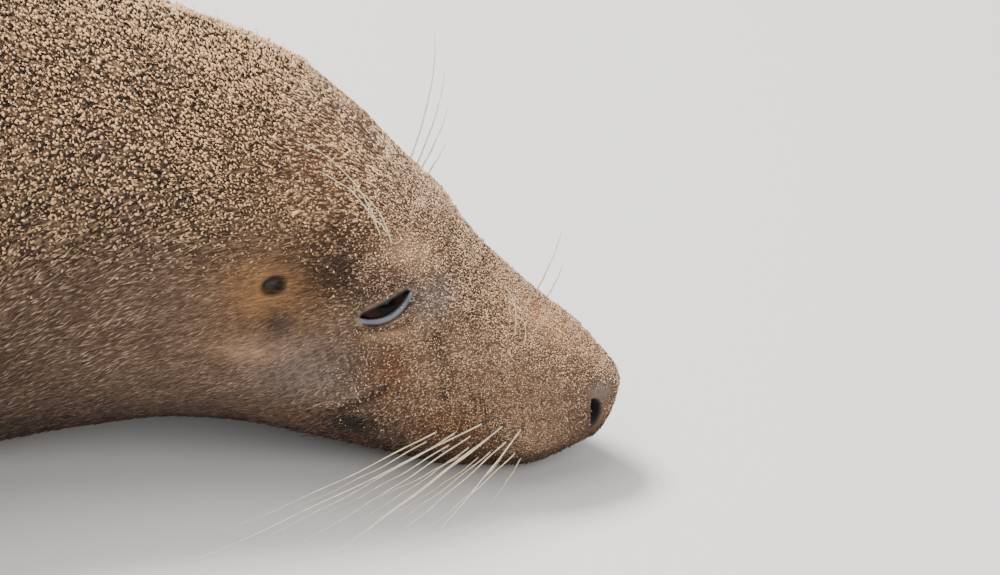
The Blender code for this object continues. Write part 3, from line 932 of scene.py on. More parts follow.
# Each cloud holds points, their shares along the body or limb, their turns and their zone.
clouds = [(body_world, body_behind, body_turn, 0), *limb_clouds]
cloud_points, cloud_share, cloud_turn = (np.concatenate([cloud[k] for cloud in clouds]) for k in range(3))
cloud_zone = np.concatenate([np.full(len(cloud[0]), float(cloud[3])) for cloud in clouds])


def read_vectors(items, name):
    data = np.zeros(len(items) * 3, np.float32)
    items.foreach_get(name, data)
    return data.reshape(-1, 3).astype(float)


def read_whole(items, name, width=1):
    """Whole numbers of a mesh's items, such as the vertex of each corner."""
    data = np.zeros(len(items) * width, np.int32)
    items.foreach_get(name, data)
    return data.reshape(-1, width).squeeze()


def nearest_of(points, sources):
    """Index of, and distance to, the nearest source point of each point."""
    tree = KDTree(len(sources))
    for i, place in enumerate(sources):
        tree.insert(place, i)
    tree.balance()
    found = [tree.find(point)[1:] for point in points]
    return np.array([i for i, _ in found], int), np.array([distance for _, distance in found])


skin_points = read_vectors(skin.data.vertices, "co")
source, miss = nearest_of(skin_points, cloud_points)
zone = cloud_zone[source]
# Points that no cloud holds were made by the unions.
seam_points = skin_points[miss > 0.02 * MM]
seam_distance = nearest_of(skin_points, seam_points)[1]
EASE_REACH = 22 * MM
EASE_ROUNDS = 30


def ease(mesh, points, distance):
    """Moves points near the seam towards the middle of their neighbours, less so further away."""
    edges = read_whole(mesh.edges, "vertices", 2)
    weight = (1 - smoothstep(0.3, 1.0, distance / EASE_REACH))[:, None] * 0.6
    count = np.bincount(edges.ravel(), minlength=len(points))[:, None]
    for _ in range(EASE_ROUNDS):
        total = np.zeros_like(points)
        np.add.at(total, edges[:, 0], points[edges[:, 1]])
        np.add.at(total, edges[:, 1], points[edges[:, 0]])
        points = points + (total / np.maximum(count, 1) - points) * weight
    points[:, 2] = np.maximum(points[:, 2], FLOOR_GAP)
    mesh.vertices.foreach_set("co", points.astype(np.float32).ravel())
    mesh.update()
    return points


skin_points = ease(skin.data, skin_points, seam_distance)
print("skin:", len(skin.data.polygons), "faces, joint points:", len(seam_points))

# %% [markdown]
# ## What every point of the skin knows
# How far behind the nose, how far round and on which limb a point is gives its colours, and which
# way, how steeply and how densely the hair grows. The tufts inherit all of it as attributes.

# %% Place and direction of every skin point
def srgb(code):
    """Linear colour of an sRGB hex code."""
    parts = np.array([int(code[i : i + 2], 16) for i in (1, 3, 5)]) / 255
    return np.where(parts <= 0.04045, parts / 12.92, ((parts + 0.055) / 1.055) ** 2.4)


skin_normals = read_vectors(skin.data.vertex_normals, "vector")
share = cloud_share[source]
around = cloud_turn[source]
on_body = zone == 0
behind = np.where(on_body, share, np.where(zone <= 2, 0.55, 1.67 + 0.3 * share))
turn = np.where(on_body, around, 0)
side_up = section(np.clip(behind, 0, 1.66), turn)
place = np.stack([behind, *side_up], -1)
mirror_place = mirrored(place)
down_turn = np.abs(turn) / DEGREE
# The hair leans down the sides while it runs back.
lean = 0.62 - 0.50 * smoothstep(0.45, 0.95, behind)
lean = lean * np.sin(np.abs(turn)) * smoothstep(0.02, 0.12, behind)
sideways = np.sign(turn) * np.cos(np.abs(turn)) * lean
lie_straight = np.stack([np.ones(len(behind)), sideways, -lean * np.sin(np.abs(turn))], -1)
lie = posed_vectors(behind, lie_straight)
_, rear_ahead, rear_right, _ = frames(np.array(1.75))
for kind, right_side, number in limb_zones:
    if kind == "fore":
        direction = fore_frame(right_side)[1]
    else:
        direction = -rear_ahead + 0.2 * right_side * rear_right * (kind == "hind")
    lie[zone == number] = direction
# The lie follows the surface.
lie = lie - skin_normals * (lie * skin_normals).sum(1, keepdims=True)
lie /= np.linalg.norm(lie, axis=1, keepdims=True) + 1e-9
print("described", len(lie), "points;", int(on_body.sum()), "on the body")

# %% [markdown]
# ## Markings and painted shade
# Two colours at each place: the hide at the roots of the hair, and the tips. Back and crown are
# crusted with pale dry sand over dark wet hair, darker on the crown, where it is also painted shade
# in the gaps between clumps. The neck's side is smooth and grey brown, the throat darker, partly as
# painted shade under the neck. The face is a patchwork of soft-edged spots that both sides of the
# head share, among them painted shade and painted highlight.

# %% Colours of hide and tips
# The coat's pigments. The studio view pales colours, so they are deeper
# and warmer than the coat looks.
PIGMENTS = {
    "black peat": "#0c0604",
    "peat": "#201208",
    "umber": "#341e10",
    "chestnut": "#4c2a14",
    "cocoa": "#5c3e2a",
    "bark": "#4a3424",
    "fawn": "#8c5e38",
    "hazel": "#7a5e46",
    "rust": "#bc7c38",
    "tan": "#b07e4c",
    "sand": "#d2aa80",
    "cream": "#e4c29c",
    "rose": "#c89c84",
    "dun": "#a07a5c",
    "dust": "#ae947a",
    "gold": "#c09462",
    "honey": "#ba8646",
    "amber": "#64452a",
    "slate": "#5a4c44",
    "ash": "#a08a7c",
    "pale ash": "#c4b2a6",
}
# For each region, the pigment of the hide and gaps, then that of the hair's tips.
BASE_TONES = {
    # The crown's hide shows between the clumps: dark wet hair, made darker as painted shade in the gaps.
    "crown": ("peat", "sand"),
    "neck_side": ("bark", "dust"),
    # The throat's pigments are darker partly as painted shade under the neck.
    "throat": ("umber", "hazel"),
    "back": ("umber", "dust"),
    "flank": ("umber", "tan"),
    "belly": ("cocoa", "tan"),
    "flipper": ("peat", "fawn"),
}
# Name, hide, tip, place (behind, side, up), reach (the same way), strength.
SPOTS = (
    ("chest shadow", "black peat", "umber", (0.43, 0.14, -0.06), (0.05, 0.10, 0.05), 0.8),
    ("golden ear", "amber", "honey", (0.212, 0.097, 0.050), (0.032, 0.03, 0.026), 1.0),
    ("ear front", "chestnut", "gold", (0.188, 0.088, 0.056), (0.014, 0.03, 0.014), 0.7),
    ("under the ear", "dun", "rose", (0.212, 0.100, 0.012), (0.024, 0.03, 0.007), 0.8),
    ("ear shadow", "black peat", "chestnut", (0.203, 0.096, 0.034), (0.010, 0.03, 0.009), 0.85),
    ("crown front", "cocoa", "gold", (0.208, 0.030, 0.104), (0.034, 0.050, 0.040), 0.9),
    ("temple", "peat", "cocoa", (0.178, 0.076, 0.068), (0.024, 0.03, 0.018), 0.9),
    ("brow", "dun", "cream", (0.136, 0.045, 0.078), (0.022, 0.022, 0.012), 0.85),
    ("forehead", "cocoa", "cream", (0.160, 0.0, 0.096), (0.055, 0.034, 0.034), 0.8),
    ("over the eye", "umber", "rose", (0.148, 0.061, 0.066), (0.016, 0.012, 0.010), 0.8),
    ("eye front", "slate", "pale ash", (0.119, 0.050, 0.054), (0.016, 0.020, 0.013), 0.9),
    ("under the eye", "dun", "cream", (0.140, 0.072, 0.036), (0.018, 0.02, 0.009), 0.85),
    # Tan fur on the cheek's roll, partly a painted highlight.
    ("golden cheek", "chestnut", "rust", (0.130, 0.070, 0.008), (0.015, 0.02, 0.018), 0.9),
    ("tan cheek", "cocoa", "cream", (0.106, 0.058, 0.012), (0.022, 0.02, 0.028), 0.9),
    ("grey cheek", "slate", "ash", (0.182, 0.090, 0.000), (0.036, 0.03, 0.026), 0.85),
    ("low cheek", "umber", "tan", (0.175, 0.085, -0.034), (0.030, 0.03, 0.018), 0.7),
    ("muzzle", "cocoa", "cream", (0.066, 0.045, 0.010), (0.036, 0.04, 0.030), 0.95),
    ("low muzzle", "chestnut", "tan", (0.085, 0.055, -0.030), (0.030, 0.03, 0.018), 0.8),
    ("pad", "cocoa", "cream", (0.040, 0.043, -0.024), (0.022, 0.03, 0.018), 0.8),
    ("nose bridge", "fawn", "cream", (0.055, 0.0, 0.032), (0.05, 0.022, 0.02), 0.8),
    ("nose skin", "slate", "pale ash", (0.008, 0.018, 0.006), (0.009, 0.012, 0.006), 0.7),
    ("septum", "slate", "tan", (0.002, 0.0, -0.008), (0.007, 0.012, 0.014), 0.9),
    # Painted shade in the corner of the mouth.
    ("mouth corner", "black peat", "umber", (0.146, 0.071, -0.037), (0.019, 0.025, 0.011), 0.95),
    ("chin", "umber", "fawn", (0.040, 0.0, -0.062), (0.05, 0.05, 0.016), 0.8),
)
print("pigments:", len(PIGMENTS), "spots:", len(SPOTS))

# %% [markdown]
# Colours are laid on in layers, as a painter would: a base tone for each region, soft spots on the
# head, then the dark blotches of back and flanks.

# %% Paint the coat's colours
# Turn from the top, in degrees, where the sandy fur of crown and back ends.
sandy_edge = 62 - 14 * (1 - smoothstep(0.18, 0.28, behind)) + 16 * smoothstep(0.28, 0.44, behind)


def mixed(low, high, share):
    return low + (high - low) * share[..., None]


def paint(colour, name, share):
    """Lays a pigment, or a colour given as a code, over the colours by a share."""
    return mixed(colour, srgb(PIGMENTS.get(name, name)), share)


def near_spot(centre, reach):
    """1 at a place on the head, and a smooth fall to nothing around it."""
    return np.exp(-(((mirror_place - centre) / reach) ** 2).sum(1))


def base_tone(which):
    """The base tone of hide (0) or tips (1) at every skin point."""
    tone = {name: srgb(PIGMENTS[pair[which]]) for name, pair in BASE_TONES.items()}
    ahead = 1 - smoothstep(0.40, 1.00, behind)
    top = mixed(tone["back"], tone["crown"], ahead)
    flank = mixed(tone["flank"], tone["neck_side"], ahead)
    low = mixed(tone["belly"], tone["throat"], ahead)
    colour = mixed(top, flank, smoothstep(-12, 14, down_turn - sandy_edge))
    # The underside takes the tones of throat and belly; the throat's darkness is partly painted shade.
    colour = mixed(colour, low, smoothstep(98, 138, down_turn))
    limb = np.where(on_body, 0, 1) * np.where(zone == 5, 0.3, 0.9)
    return mixed(colour, tone["flipper"], limb)


def spotted(colour, which):
    for _, *pigments, centre, reach, strength in SPOTS:
        colour = paint(colour, pigments[which], strength * near_spot(centre, reach) * on_body)
    return colour


# A grey seal cow has dark blotches over back and flanks; they start behind the sandy neck.
BLOTCHES = 150
BLOTCH_REACH = (10 * MM, 42 * MM)


def blotched():
    """How much of each skin point lies in a dark blotch."""
    toss = np.random.default_rng(8)
    share_here = np.zeros(len(behind))
    for _ in range(BLOTCHES):
        centre_behind = toss.uniform(0.45, 1.65)
        centre_turn = toss.uniform(-150, 150) * DEGREE
        reach = BLOTCH_REACH[0] + (BLOTCH_REACH[1] - BLOTCH_REACH[0]) * toss.random() ** 2
        radius = 0.18 * (1 - 0.5 * smoothstep(1.1, 1.7, centre_behind))
        way_round = (turn - centre_turn + math.pi) % (2 * math.pi) - math.pi
        apart = np.hypot((behind - centre_behind) / 1.3, way_round * radius) / reach
        share_here = np.maximum(share_here, 1 - smoothstep(0.7, 1.15, apart))
    return share_here * on_body * smoothstep(0.45, 0.75, behind)


blotch_share = blotched()
hide_colour = paint(spotted(base_tone(0), 0), "peat", 0.7 * blotch_share)
tip_colour = paint(spotted(base_tone(1), 1), "cocoa", 0.75 * blotch_share)
print("points in a blotch:", int((blotch_share > 0.5).sum()))

# %% [markdown]
# Skin without hair comes last, because it lies over the coat's colours: rims of the lids, insides
# of nostrils and ears, the mouth's line, and the fine wrinkles round the eye. Painted shade goes
# into folds, wrinkles, the upper lid's edge and the holes of ears and nostrils, and painted
# highlights onto ridges and the middle of the ear hole.

# %% Paint bare skin, with painted shade and highlights in folds and holes
# Bare skin: the lids' pale wet rims, the mouth's dark line, and painted shade in ears and nostrils.
eye_local = (mirror_place - eye_surface) @ EYE_AXES.T
eye_x, eye_y, _ = eye_local.T
gap = lid_gap(eye_x, eye_y)
by_eye = on_body & (np.hypot(eye_x / (25 * MM), eye_y / (15 * MM)) < 1) & (behind < 0.19)
upper_edge, lower_edge = lid_margins(eye_x)
below_lid = lower_edge - eye_y
above_lid = eye_y - upper_edge
at_lids = by_eye * (np.abs(eye_x) < EYE_HALF_LENGTH * 1.04)
rim_share = at_lids * (below_lid > -0.3 * MM) * (1 - smoothstep(LID_RIM - 0.5 * MM, LID_RIM, below_lid))
rim_share = rim_share * (gap < 0.1 * MM)
line_share = at_lids * hump(below_lid - LID_RIM - 1.0 * MM, 1.2 * MM)
# The upper lid's edge is a dark band: dark lid skin, and painted shade along the lid.
lid_edge_and_shade = at_lids * (above_lid > -0.5 * MM) * (1 - smoothstep(1.2 * MM, 3.0 * MM, above_lid))
inside_eye = by_eye * smoothstep(0, 0.5 * MM, gap)
ear_oval = np.where(on_body, ear_oval_of(mirror_place), 9)
nostril_oval = np.where(on_body, nostril_oval_of(mirror_place), 9)
# The ear hole is painted black as painted shade, with a painted highlight in its middle.
in_ear = 1 - smoothstep(0.55, 1.15, ear_oval)
# The nostril is painted black as painted shade.
in_nostril = 1 - smoothstep(0.85, 1.1, nostril_oval)
mouth_share = on_body * (behind < 0.15) * hump(below_mouth(place), MOUTH_WIDTH)
# Folds get painted shade over their dark wet hair; the ridges beside them get a painted highlight.
for _, path, width, tall in CREASES:
    fold_shade_and_highlight = on_body * hump(from_path(mirror_place, path), width * MM)
    if tall < 0:
        hide_colour = paint(hide_colour, "black peat", 0.75 * fold_shade_and_highlight)
        tip_colour = paint(tip_colour, "cocoa", 0.65 * fold_shade_and_highlight)
    else:
        tip_colour = paint(tip_colour, "cream", 0.5 * fold_shade_and_highlight)
# Fine wrinkles run round the eye, a few millimetres apart: a bump, and dark lines of painted shade.
WRINKLE_GAP = 2.6 * MM
lid_steps = np.linspace(-EYE_HALF_LENGTH, EYE_HALF_LENGTH, 15)
margins = [np.stack([lid_steps, margin], -1) for margin in lid_margins(lid_steps)]
from_lid = np.minimum(*(from_path(eye_local[:, :2], margin) for margin in margins))
round_eye = by_eye * smoothstep(2.5 * MM, 4 * MM, from_lid) * (1 - smoothstep(9 * MM, 15 * MM, from_lid))
wrinkle_share = round_eye * (0.5 + 0.5 * np.cos(2 * math.pi * from_lid / WRINKLE_GAP)) ** 3
lid_skin = by_eye * (1 - smoothstep(0.5 * MM, 6 * MM, from_lid)) * (gap < 0)
BARE_SKIN_AND_SHADE = (
    ("#5c504a", lid_skin * 0.8),
    # painted shade along the wrinkles round the eye
    ("#2a1c14", wrinkle_share * 0.7),
    # the upper lid's edge: dark lid skin and painted shade
    ("#120c0a", lid_edge_and_shade),
    ("#5e616c", rim_share),
    ("#0c0909", np.clip(line_share + inside_eye, 0, 1)),
    # painted shade: the ear hole black
    ("#060403", in_ear),
    # painted highlight in the middle of the ear hole
    ("#2a262a", 0.6 * (1 - smoothstep(0.2, 0.7, ear_oval))),
    # painted shade: the nostril black
    ("#050303", in_nostril),
    ("#140c08", mouth_share * 0.9),
)
for code, mark_share in BARE_SKIN_AND_SHADE:
    hide_colour = paint(hide_colour, code, mark_share)
# No hair grows there, so the tips' colour must not show in the hide either.
no_hair = rim_share + line_share + lid_edge_and_shade + inside_eye + 0.5 * in_ear + in_nostril + mouth_share
tip_colour = mixed(tip_colour, hide_colour, np.clip(no_hair, 0, 1))
wetness = np.clip(rim_share + inside_eye + 0.2 * in_nostril + 0.2 * lid_edge_and_shade, 0, 1)
print("painted", len(SPOTS), "spots; rim points:", int((rim_share > 0.5).sum()))

# %% [markdown]
# ## How the hair stands
# Sandy hair on crown and nape stands up in little clumps; on the throat it is combed flat, on the
# muzzle it is a close stubble, and on the flippers it is fine. These shares say what grows where.

# %% Where each kind of tuft grows, its size and its lift
pressed = smoothstep(2 * MM, 8 * MM, skin_points[:, 2])
bare = 1 - np.clip(rim_share + line_share + inside_eye + lid_edge_and_shade + 0.9 * lid_skin, 0, 1)
bare = bare * smoothstep(1.0, 1.35, ear_oval) * smoothstep(1.1, 1.5, nostril_oval)
nose_skin = near_spot((0.006, 0.016, 0.006), (0.009, 0.012, 0.009))
bare = bare * (1 - 0.7 * on_body * nose_skin) * (1 - 0.8 * mouth_share)
sandy = 1 - smoothstep(-14, 12, down_turn - sandy_edge)
# The short fur of the face ends further back on the crown than on the cheeks.
HEAD_EDGE = ((0, 30, 55, 70), (0.248, 0.238, 0.200, 0.168))
past_edge = behind - np.interp(down_turn, *HEAD_EDGE)
head_share = 1 - smoothstep(-0.014, 0.014, past_edge)
crown_share = smoothstep(0.155, 0.185, behind) * head_share
by_sand = hump(down_turn - sandy_edge - 8, 18) * smoothstep(0.24, 0.32, behind)
trunk_share = smoothstep(0.42, 0.76, behind)
clump_share = on_body * sandy * (1 - head_share) * (1 - trunk_share)
short_share = on_body * head_share
smooth_share = on_body * (1 - sandy) * (1 - head_share) * (1 - trunk_share)
lock_share = on_body * trunk_share
limb_share = 1.0 - on_body
smooth_lift = 8 + 16 * by_sand
lift_degrees = (24 - 15 * crown_share) * short_share + 52 * clump_share + smooth_lift * smooth_share
lift_degrees = lift_degrees + 13 * lock_share + 12 * limb_share
size = short_share * (0.75 + 0.25 * smoothstep(0.03, 0.16, behind) + 0.5 * crown_share)
size = size + clump_share * (0.75 + 0.25 * smoothstep(0.18, 0.30, behind)) + lock_share
size = size + smooth_share * (0.75 + 0.15 * smoothstep(0.26, 0.34, behind))
# Near the ear hole the hair is shorter, and only a little of it reaches over the edge.
size = size * (0.65 + 0.35 * smoothstep(1.2, 3.0, ear_oval))
size = size + limb_share * (0.9 - 0.3 * share)
print("largest size of a tuft:", round(float(size.max()), 2))

# %% [markdown]
# What a tuft needs to know is stored on the skin as named attributes, because the scattered points
# and then the tufts take them over.

# %% Store it on the skin
def keep_attribute(mesh, name, values, kind="FLOAT"):
    field = {"FLOAT": "value", "FLOAT_VECTOR": "vector", "FLOAT_COLOR": "color"}[kind]
    attribute = mesh.attributes.new(name, kind, "POINT")
    attribute.data.foreach_set(field, np.asarray(values, np.float32).ravel())


def with_alpha(colour):
    return np.concatenate([colour, np.ones((len(colour), 1))], 1)


keep_attribute(skin.data, "hide", with_alpha(hide_colour), "FLOAT_COLOR")
keep_attribute(skin.data, "tips", with_alpha(tip_colour), "FLOAT_COLOR")
keep_attribute(skin.data, "lie", lie, "FLOAT_VECTOR")
around_share = np.where(on_body, (turn + math.pi) / (2 * math.pi), around / (2 * math.pi))
# Loose sand lies thickest on the top of the head and the muzzle.
grit_share = head_share * on_body * (0.40 + 0.5 * hump(down_turn - 20, 45))
grit_share = grit_share * (1 - 0.7 * crown_share)
grit_share = grit_share + 0.50 * on_body * near_spot((0.060, 0.045, 0.0), (0.04, 0.03, 0.03))
grit_share = grit_share * (1 - smoothstep(100, 135, down_turn))
grit_share = grit_share * (1 - smoothstep(0.145, 0.170, behind) * smoothstep(48, 66, down_turn))
# Sand lies in patches about two centimetres apart.
PATCH_GAPS = (21 * MM, 12 * MM)
patches = smoothstep(-0.5, 0.6, crossing_waves(mirror_place, PATCH_GAPS))
grit_share = grit_share * (0.5 + 0.7 * patches)
by_spot = {name: near_spot(centre, reach) for name, _, _, centre, reach, _ in SPOTS}
grit_share = grit_share * (1 - 0.65 * by_spot["eye front"])
by_corner = hump(np.linalg.norm(mirror_place - MOUTH_CORNER, axis=1), 16 * MM)
grit_share = np.clip(grit_share * (1 - 0.7 * by_spot["temple"]) * (1 - 0.85 * by_corner), 0, 1)
values_by_name = {
    "fold": wrinkle_share,
    "grit": grit_share * bare**3,
    "wet": wetness,
    "lift": lift_degrees * DEGREE,
    "size": size,
    "behind": behind,
    "zone": zone,
    "limb": share,
    "around": around_share,
    "clumps": clump_share * pressed * bare,
    "short": short_share * pressed * bare,
    "smooth": smooth_share * pressed * bare,
    "locks": lock_share * pressed,
    "limbs": limb_share * pressed,
}
for name, values in values_by_name.items():
    keep_attribute(skin.data, name, values)
print("attributes:", [attribute.name for attribute in skin.data.attributes])

# %% [markdown]
# ## Unwrapping the skin
# "flow" measures metres along and across the hair's flow, for patterns that follow it. "OFBake"
# unwraps the skin: distance behind the nose one way, the way round the other, and limbs in strips.

# %% Two UV maps
BODY_STRIP = 0.72
LIMB_STRIP = 0.26


def unwrap_place(zones, along_share, behind_nose, round_share):
    """Place on the unwrap: the body fills the left part, and each limb has a strip on the right."""
    body_u = 0.005 + BODY_STRIP * np.clip(behind_nose / BODY_END, 0, 1) ** 0.7
    row = np.clip(zones - 1, 0, 4)
    limb_u = 0.735 + LIMB_STRIP * np.clip((along_share + 0.25) / 1.25, 0, 1)
    limb_v = (row + 0.04 + 0.76 * round_share) / 5
    on_skin = zones < 0.5
    return np.where(on_skin, body_u, limb_u), np.where(on_skin, 0.005 + 0.96 * round_share, limb_v)


def corner_values():
    """Zone, share, distance and way round at every face corner, with no jump inside a face."""
    mesh = skin.data
    corner_vertex = read_whole(mesh.loops, "vertex_index")
    totals = read_whole(mesh.polygons, "loop_total")
    face = np.repeat(np.arange(len(totals)), totals)
    face_zone = np.zeros(len(totals))
    np.maximum.at(face_zone, face, zone[corner_vertex])
    mixed_face = np.zeros(len(totals), bool)
    np.logical_or.at(mixed_face, face, zone[corner_vertex] != face_zone[face])
    corner_share, corner_around = share[corner_vertex].copy(), around_share[corner_vertex].copy()
    for points, shares, turns, number in limb_clouds:
        stray = mixed_face[face] & (face_zone[face] == number) & (zone[corner_vertex] != number)
        nearest = nearest_of(skin_points[corner_vertex[stray]], points)[0]
        corner_share[stray] = shares[nearest]
        corner_around[stray] = turns[nearest] / (2 * math.pi)
    highest = np.zeros(len(totals))
    np.maximum.at(highest, face, corner_around)
    corner_around = np.where(highest[face] - corner_around > 0.5, corner_around + 1, corner_around)
    return corner_vertex, face_zone[face], corner_share, corner_around


corner_vertex, corner_zone, corner_share, corner_around = corner_values()
corner_behind = behind[corner_vertex]
u, v = unwrap_place(corner_zone, corner_share, corner_behind, corner_around)


def add_uv(mesh, name, u_values, v_values):
    layer = mesh.uv_layers.new(name=name)
    layer.data.foreach_set("uv", np.stack([u_values, v_values], -1).astype(np.float32).ravel())


add_uv(skin.data, "OFBake", u, v)
# Streamlines of the hair: the way round, drawn upwards by how far it has leaned down.
drop = 4.3 * np.minimum(corner_behind, 0.5) + 0.5 * np.maximum(corner_behind - 0.5, 0)
corner_turn = np.clip(corner_around * 2 * math.pi - math.pi, -3.1, 3.1)
stream = 2 * np.arctan(np.tan(corner_turn / 2) * np.exp(-drop))
on_limb = corner_zone > 0.5
add_uv(
    skin.data,
    "flow",
    np.where(on_limb, 0.33 * corner_share, corner_behind),
    np.where(on_limb, 0.3 * corner_around + 2, 0.16 * stream),
)
print("UV maps:", [layer.name for layer in skin.data.uv_layers])

# %% [markdown]
# ## Materials
# Real fur is keratin: a dull, slightly waxy fibre, tinted by what is on it. Here it is wet hide at
# the roots and dry sand at the tips. One helper adds a node with its settings and links.

# %% Materials of the seal
def set_inputs(tree, node, inputs):
    """Sets a node's inputs: a node or a socket is linked in, and anything else is a value."""
    for name, value in inputs.items():
        if isinstance(value, bpy.types.Node):
            tree.links.new(value.outputs[0], node.inputs[name])
        elif isinstance(value, bpy.types.NodeSocket):
            tree.links.new(value, node.inputs[name])
        else:
            node.inputs[name].default_value = value


def add_node(tree, kind, inputs=None, **properties):
    """Adds a node with its properties, values and links."""
    node = tree.nodes.new(kind)
    for name, value in properties.items():
        setattr(node, name, value)
    set_inputs(tree, node, inputs or {})
    return node


def new_material(name):
    made = bpy.data.materials.new(name)
    made.use_nodes = True
    return made, made.node_tree, made.node_tree.nodes["Principled BSDF"]


def colour4(code):
    return (*srgb(code), 1)


# The mix node's sockets for colours.
MIX_A, MIX_B, MIX_OUT = 6, 7, 2
print("linear value of mid grey:", round(float(srgb("#808080")[0]), 3))

# %% [markdown]
# Under the coat lies wet hide, and above it stand tufts. Both mix the same two colours of a place:
# the hide shows pale hairs where it is dry, and a tuft turns pale towards its tip. The kinds of
# tuft differ in how far up they do: sandy clumps soon, combed hair only near the tip.

# %% Hide, hair and sand
def hide_material():
    """Wet hide with flat hair on it: fine dark lines along the lie, and a soft grain."""
    made, tree, shader = new_material("wet hide with flat fur")
    add = partial(add_node, tree)
    hide, tips, wet, fold = (
        add("ShaderNodeAttribute", attribute_name=name).outputs
        for name in ("hide", "tips", "wet", "fold")
    )
    # Hairs lie about 0.8 mm apart and 9 mm long.
    lie_map = add("ShaderNodeUVMap", uv_map="flow")
    hairs = add("ShaderNodeMapping", {"Scale": (110, 1250, 1), "Vector": lie_map})
    strand = {"Scale": 1.0, "Detail": 3.0, "Roughness": 0.6, "Vector": hairs}
    strands = add("ShaderNodeTexNoise", strand)
    # Clots of wet hair, 5 mm across.
    place = add("ShaderNodeTexCoord").outputs["Object"]
    clots = add("ShaderNodeTexNoise", {"Scale": 200.0, "Detail": 3.0, "Vector": place})
    pale_range = {"From Min": 0.42, "From Max": 0.75, "To Max": 0.8, "Value": strands}
    pale = add("ShaderNodeMapRange", pale_range)
    dry = add("ShaderNodeMath", {0: pale, 1: clots}, operation="MULTIPLY")
    furry = add("ShaderNodeMath", {0: 1.0, 1: wet["Fac"]}, operation="SUBTRACT", use_clamp=True)
    amount = add("ShaderNodeMath", {0: dry, 1: furry}, operation="MULTIPLY")
    colours = {0: amount, MIX_A: hide[0], MIX_B: tips[0]}
    height = add("ShaderNodeMath", {0: strands, 1: furry}, operation="MULTIPLY")
    bump = add("ShaderNodeBump", {"Strength": 0.6, "Distance": 0.0006, "Height": height})
    groove = {"Strength": 0.8, "Distance": 0.0008, "Height": fold["Fac"], "Normal": bump}
    look = {
        "Base Color": add("ShaderNodeMix", colours, data_type="RGBA").outputs[MIX_OUT],
        "Roughness": add("ShaderNodeMapRange", {"To Min": 0.72, "To Max": 0.16, "Value": wet["Fac"]}),
        "Normal": add("ShaderNodeBump", groove, invert=True),
        "Specular IOR Level": 0.25,
        "Sheen Weight": 0.05,
        "Sheen Roughness": 0.5,
    }
    set_inputs(tree, shader, look)
    return made


def tuft_material(name, bright_from, bright_to, spread):
    """Keratin hair: hide colour at the root, tip colour at the end, no two tufts quite alike."""
    made, tree, shader = new_material(name)
    add = partial(add_node, tree)
    hide, tips, along_tuft, shade = (
        add("ShaderNodeAttribute", attribute_name=name).outputs
        for name in ("hide", "tips", "tip_share", "shade")
    )
    # Sand lies in drifts a few centimetres across.
    place = add("ShaderNodeTexCoord").outputs["Object"]
    drift = add("ShaderNodeTexNoise", {"Scale": 38.0, "Detail": 3.0, "Vector": place})
    drift_range = {"From Min": 0.3, "From Max": 0.7, "To Min": -0.18, "To Max": 0.18}
    shift = add("ShaderNodeMapRange", drift_range | {"Value": drift})
    vary = {"To Min": -spread, "To Max": spread, "Value": shade["Fac"]}
    varied = add("ShaderNodeMapRange", vary)
    moved = add("ShaderNodeMath", {0: along_tuft["Fac"], 1: shift}, operation="ADD")
    moved = add("ShaderNodeMath", {0: moved, 1: varied}, operation="ADD")
    bright = {"From Min": bright_from, "From Max": bright_to, "Value": moved}
    amount = add("ShaderNodeMapRange", bright, interpolation_type="SMOOTHSTEP")
    colours = {0: amount, MIX_A: hide[0], MIX_B: tips[0]}
    look = {
        "Base Color": add("ShaderNodeMix", colours, data_type="RGBA").outputs[MIX_OUT],
        "Roughness": 0.75,
        "Specular IOR Level": 0.25,
        "Sheen Weight": 0.06,
        "Sheen Roughness": 0.4,
    }
    set_inputs(tree, shader, look)
    return made


def set_stops(ramp, first, *between, last):
    """Gives a colour ramp its codes: at its ends, and at (position, code) places between."""
    elements = ramp.color_ramp.elements
    elements[0].color = colour4(first)
    elements[1].color = colour4(last)
    for position, code in between:
        elements.new(position).color = colour4(code)


def sand_material():
    """Dry beach sand: quartz and crushed shell, matt, every grain a little different."""
    made, tree, shader = new_material("dry beach sand")
    shade = add_node(tree, "ShaderNodeAttribute", attribute_name="shade").outputs["Fac"]
    ramp = add_node(tree, "ShaderNodeValToRGB", {0: shade})
    set_stops(ramp, "#8e6a4c", (0.6, "#c8a282"), last="#e2c4a4")
    set_inputs(tree, shader, {"Base Color": ramp, "Roughness": 0.85})
    return made
looks = {
    "hide": hide_material(),
    "clumps": tuft_material("sandy keratin clumps", 0.25, 0.8, 0.25),
    "short": tuft_material("short keratin stubble", 0.25, 1.05, 0.3),
    "smooth": tuft_material("combed keratin hair", 0.2, 1.25, 0.4),
    "locks": tuft_material("keratin guard hair", 0.3, 1.2, 0.3),
    "sand": sand_material(),
    "stray": tuft_material("bleached stray hair", -0.6, 0.2, 0.2),
}
print("looks:", {kind: made.name for kind, made in looks.items()})

# %% [markdown]
# The skin wears the hide. It is one piece that stands for all nodes of flesh, so that no seam shows
# between head, trunk and flippers.

# %% Dress the skin
skin.data.materials.clear()
skin.data.materials.append(looks["hide"])
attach(skin, "root")
FLESH = [name for name in frame["nodes"] if "claw" not in name and "eye" not in name]
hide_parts(*FLESH)
print("the skin stands for", FLESH)

# %% [markdown]
# ## One tuft
# A tuft is a few hairs stuck together: a flat, bent, three-sided spike along +Z, with its flat side
# towards +X. A few variants are enough, because every copy is turned and scaled. The tuft carries a
# small UV patch and a share that runs from 0 at the root to 1 at the tip.

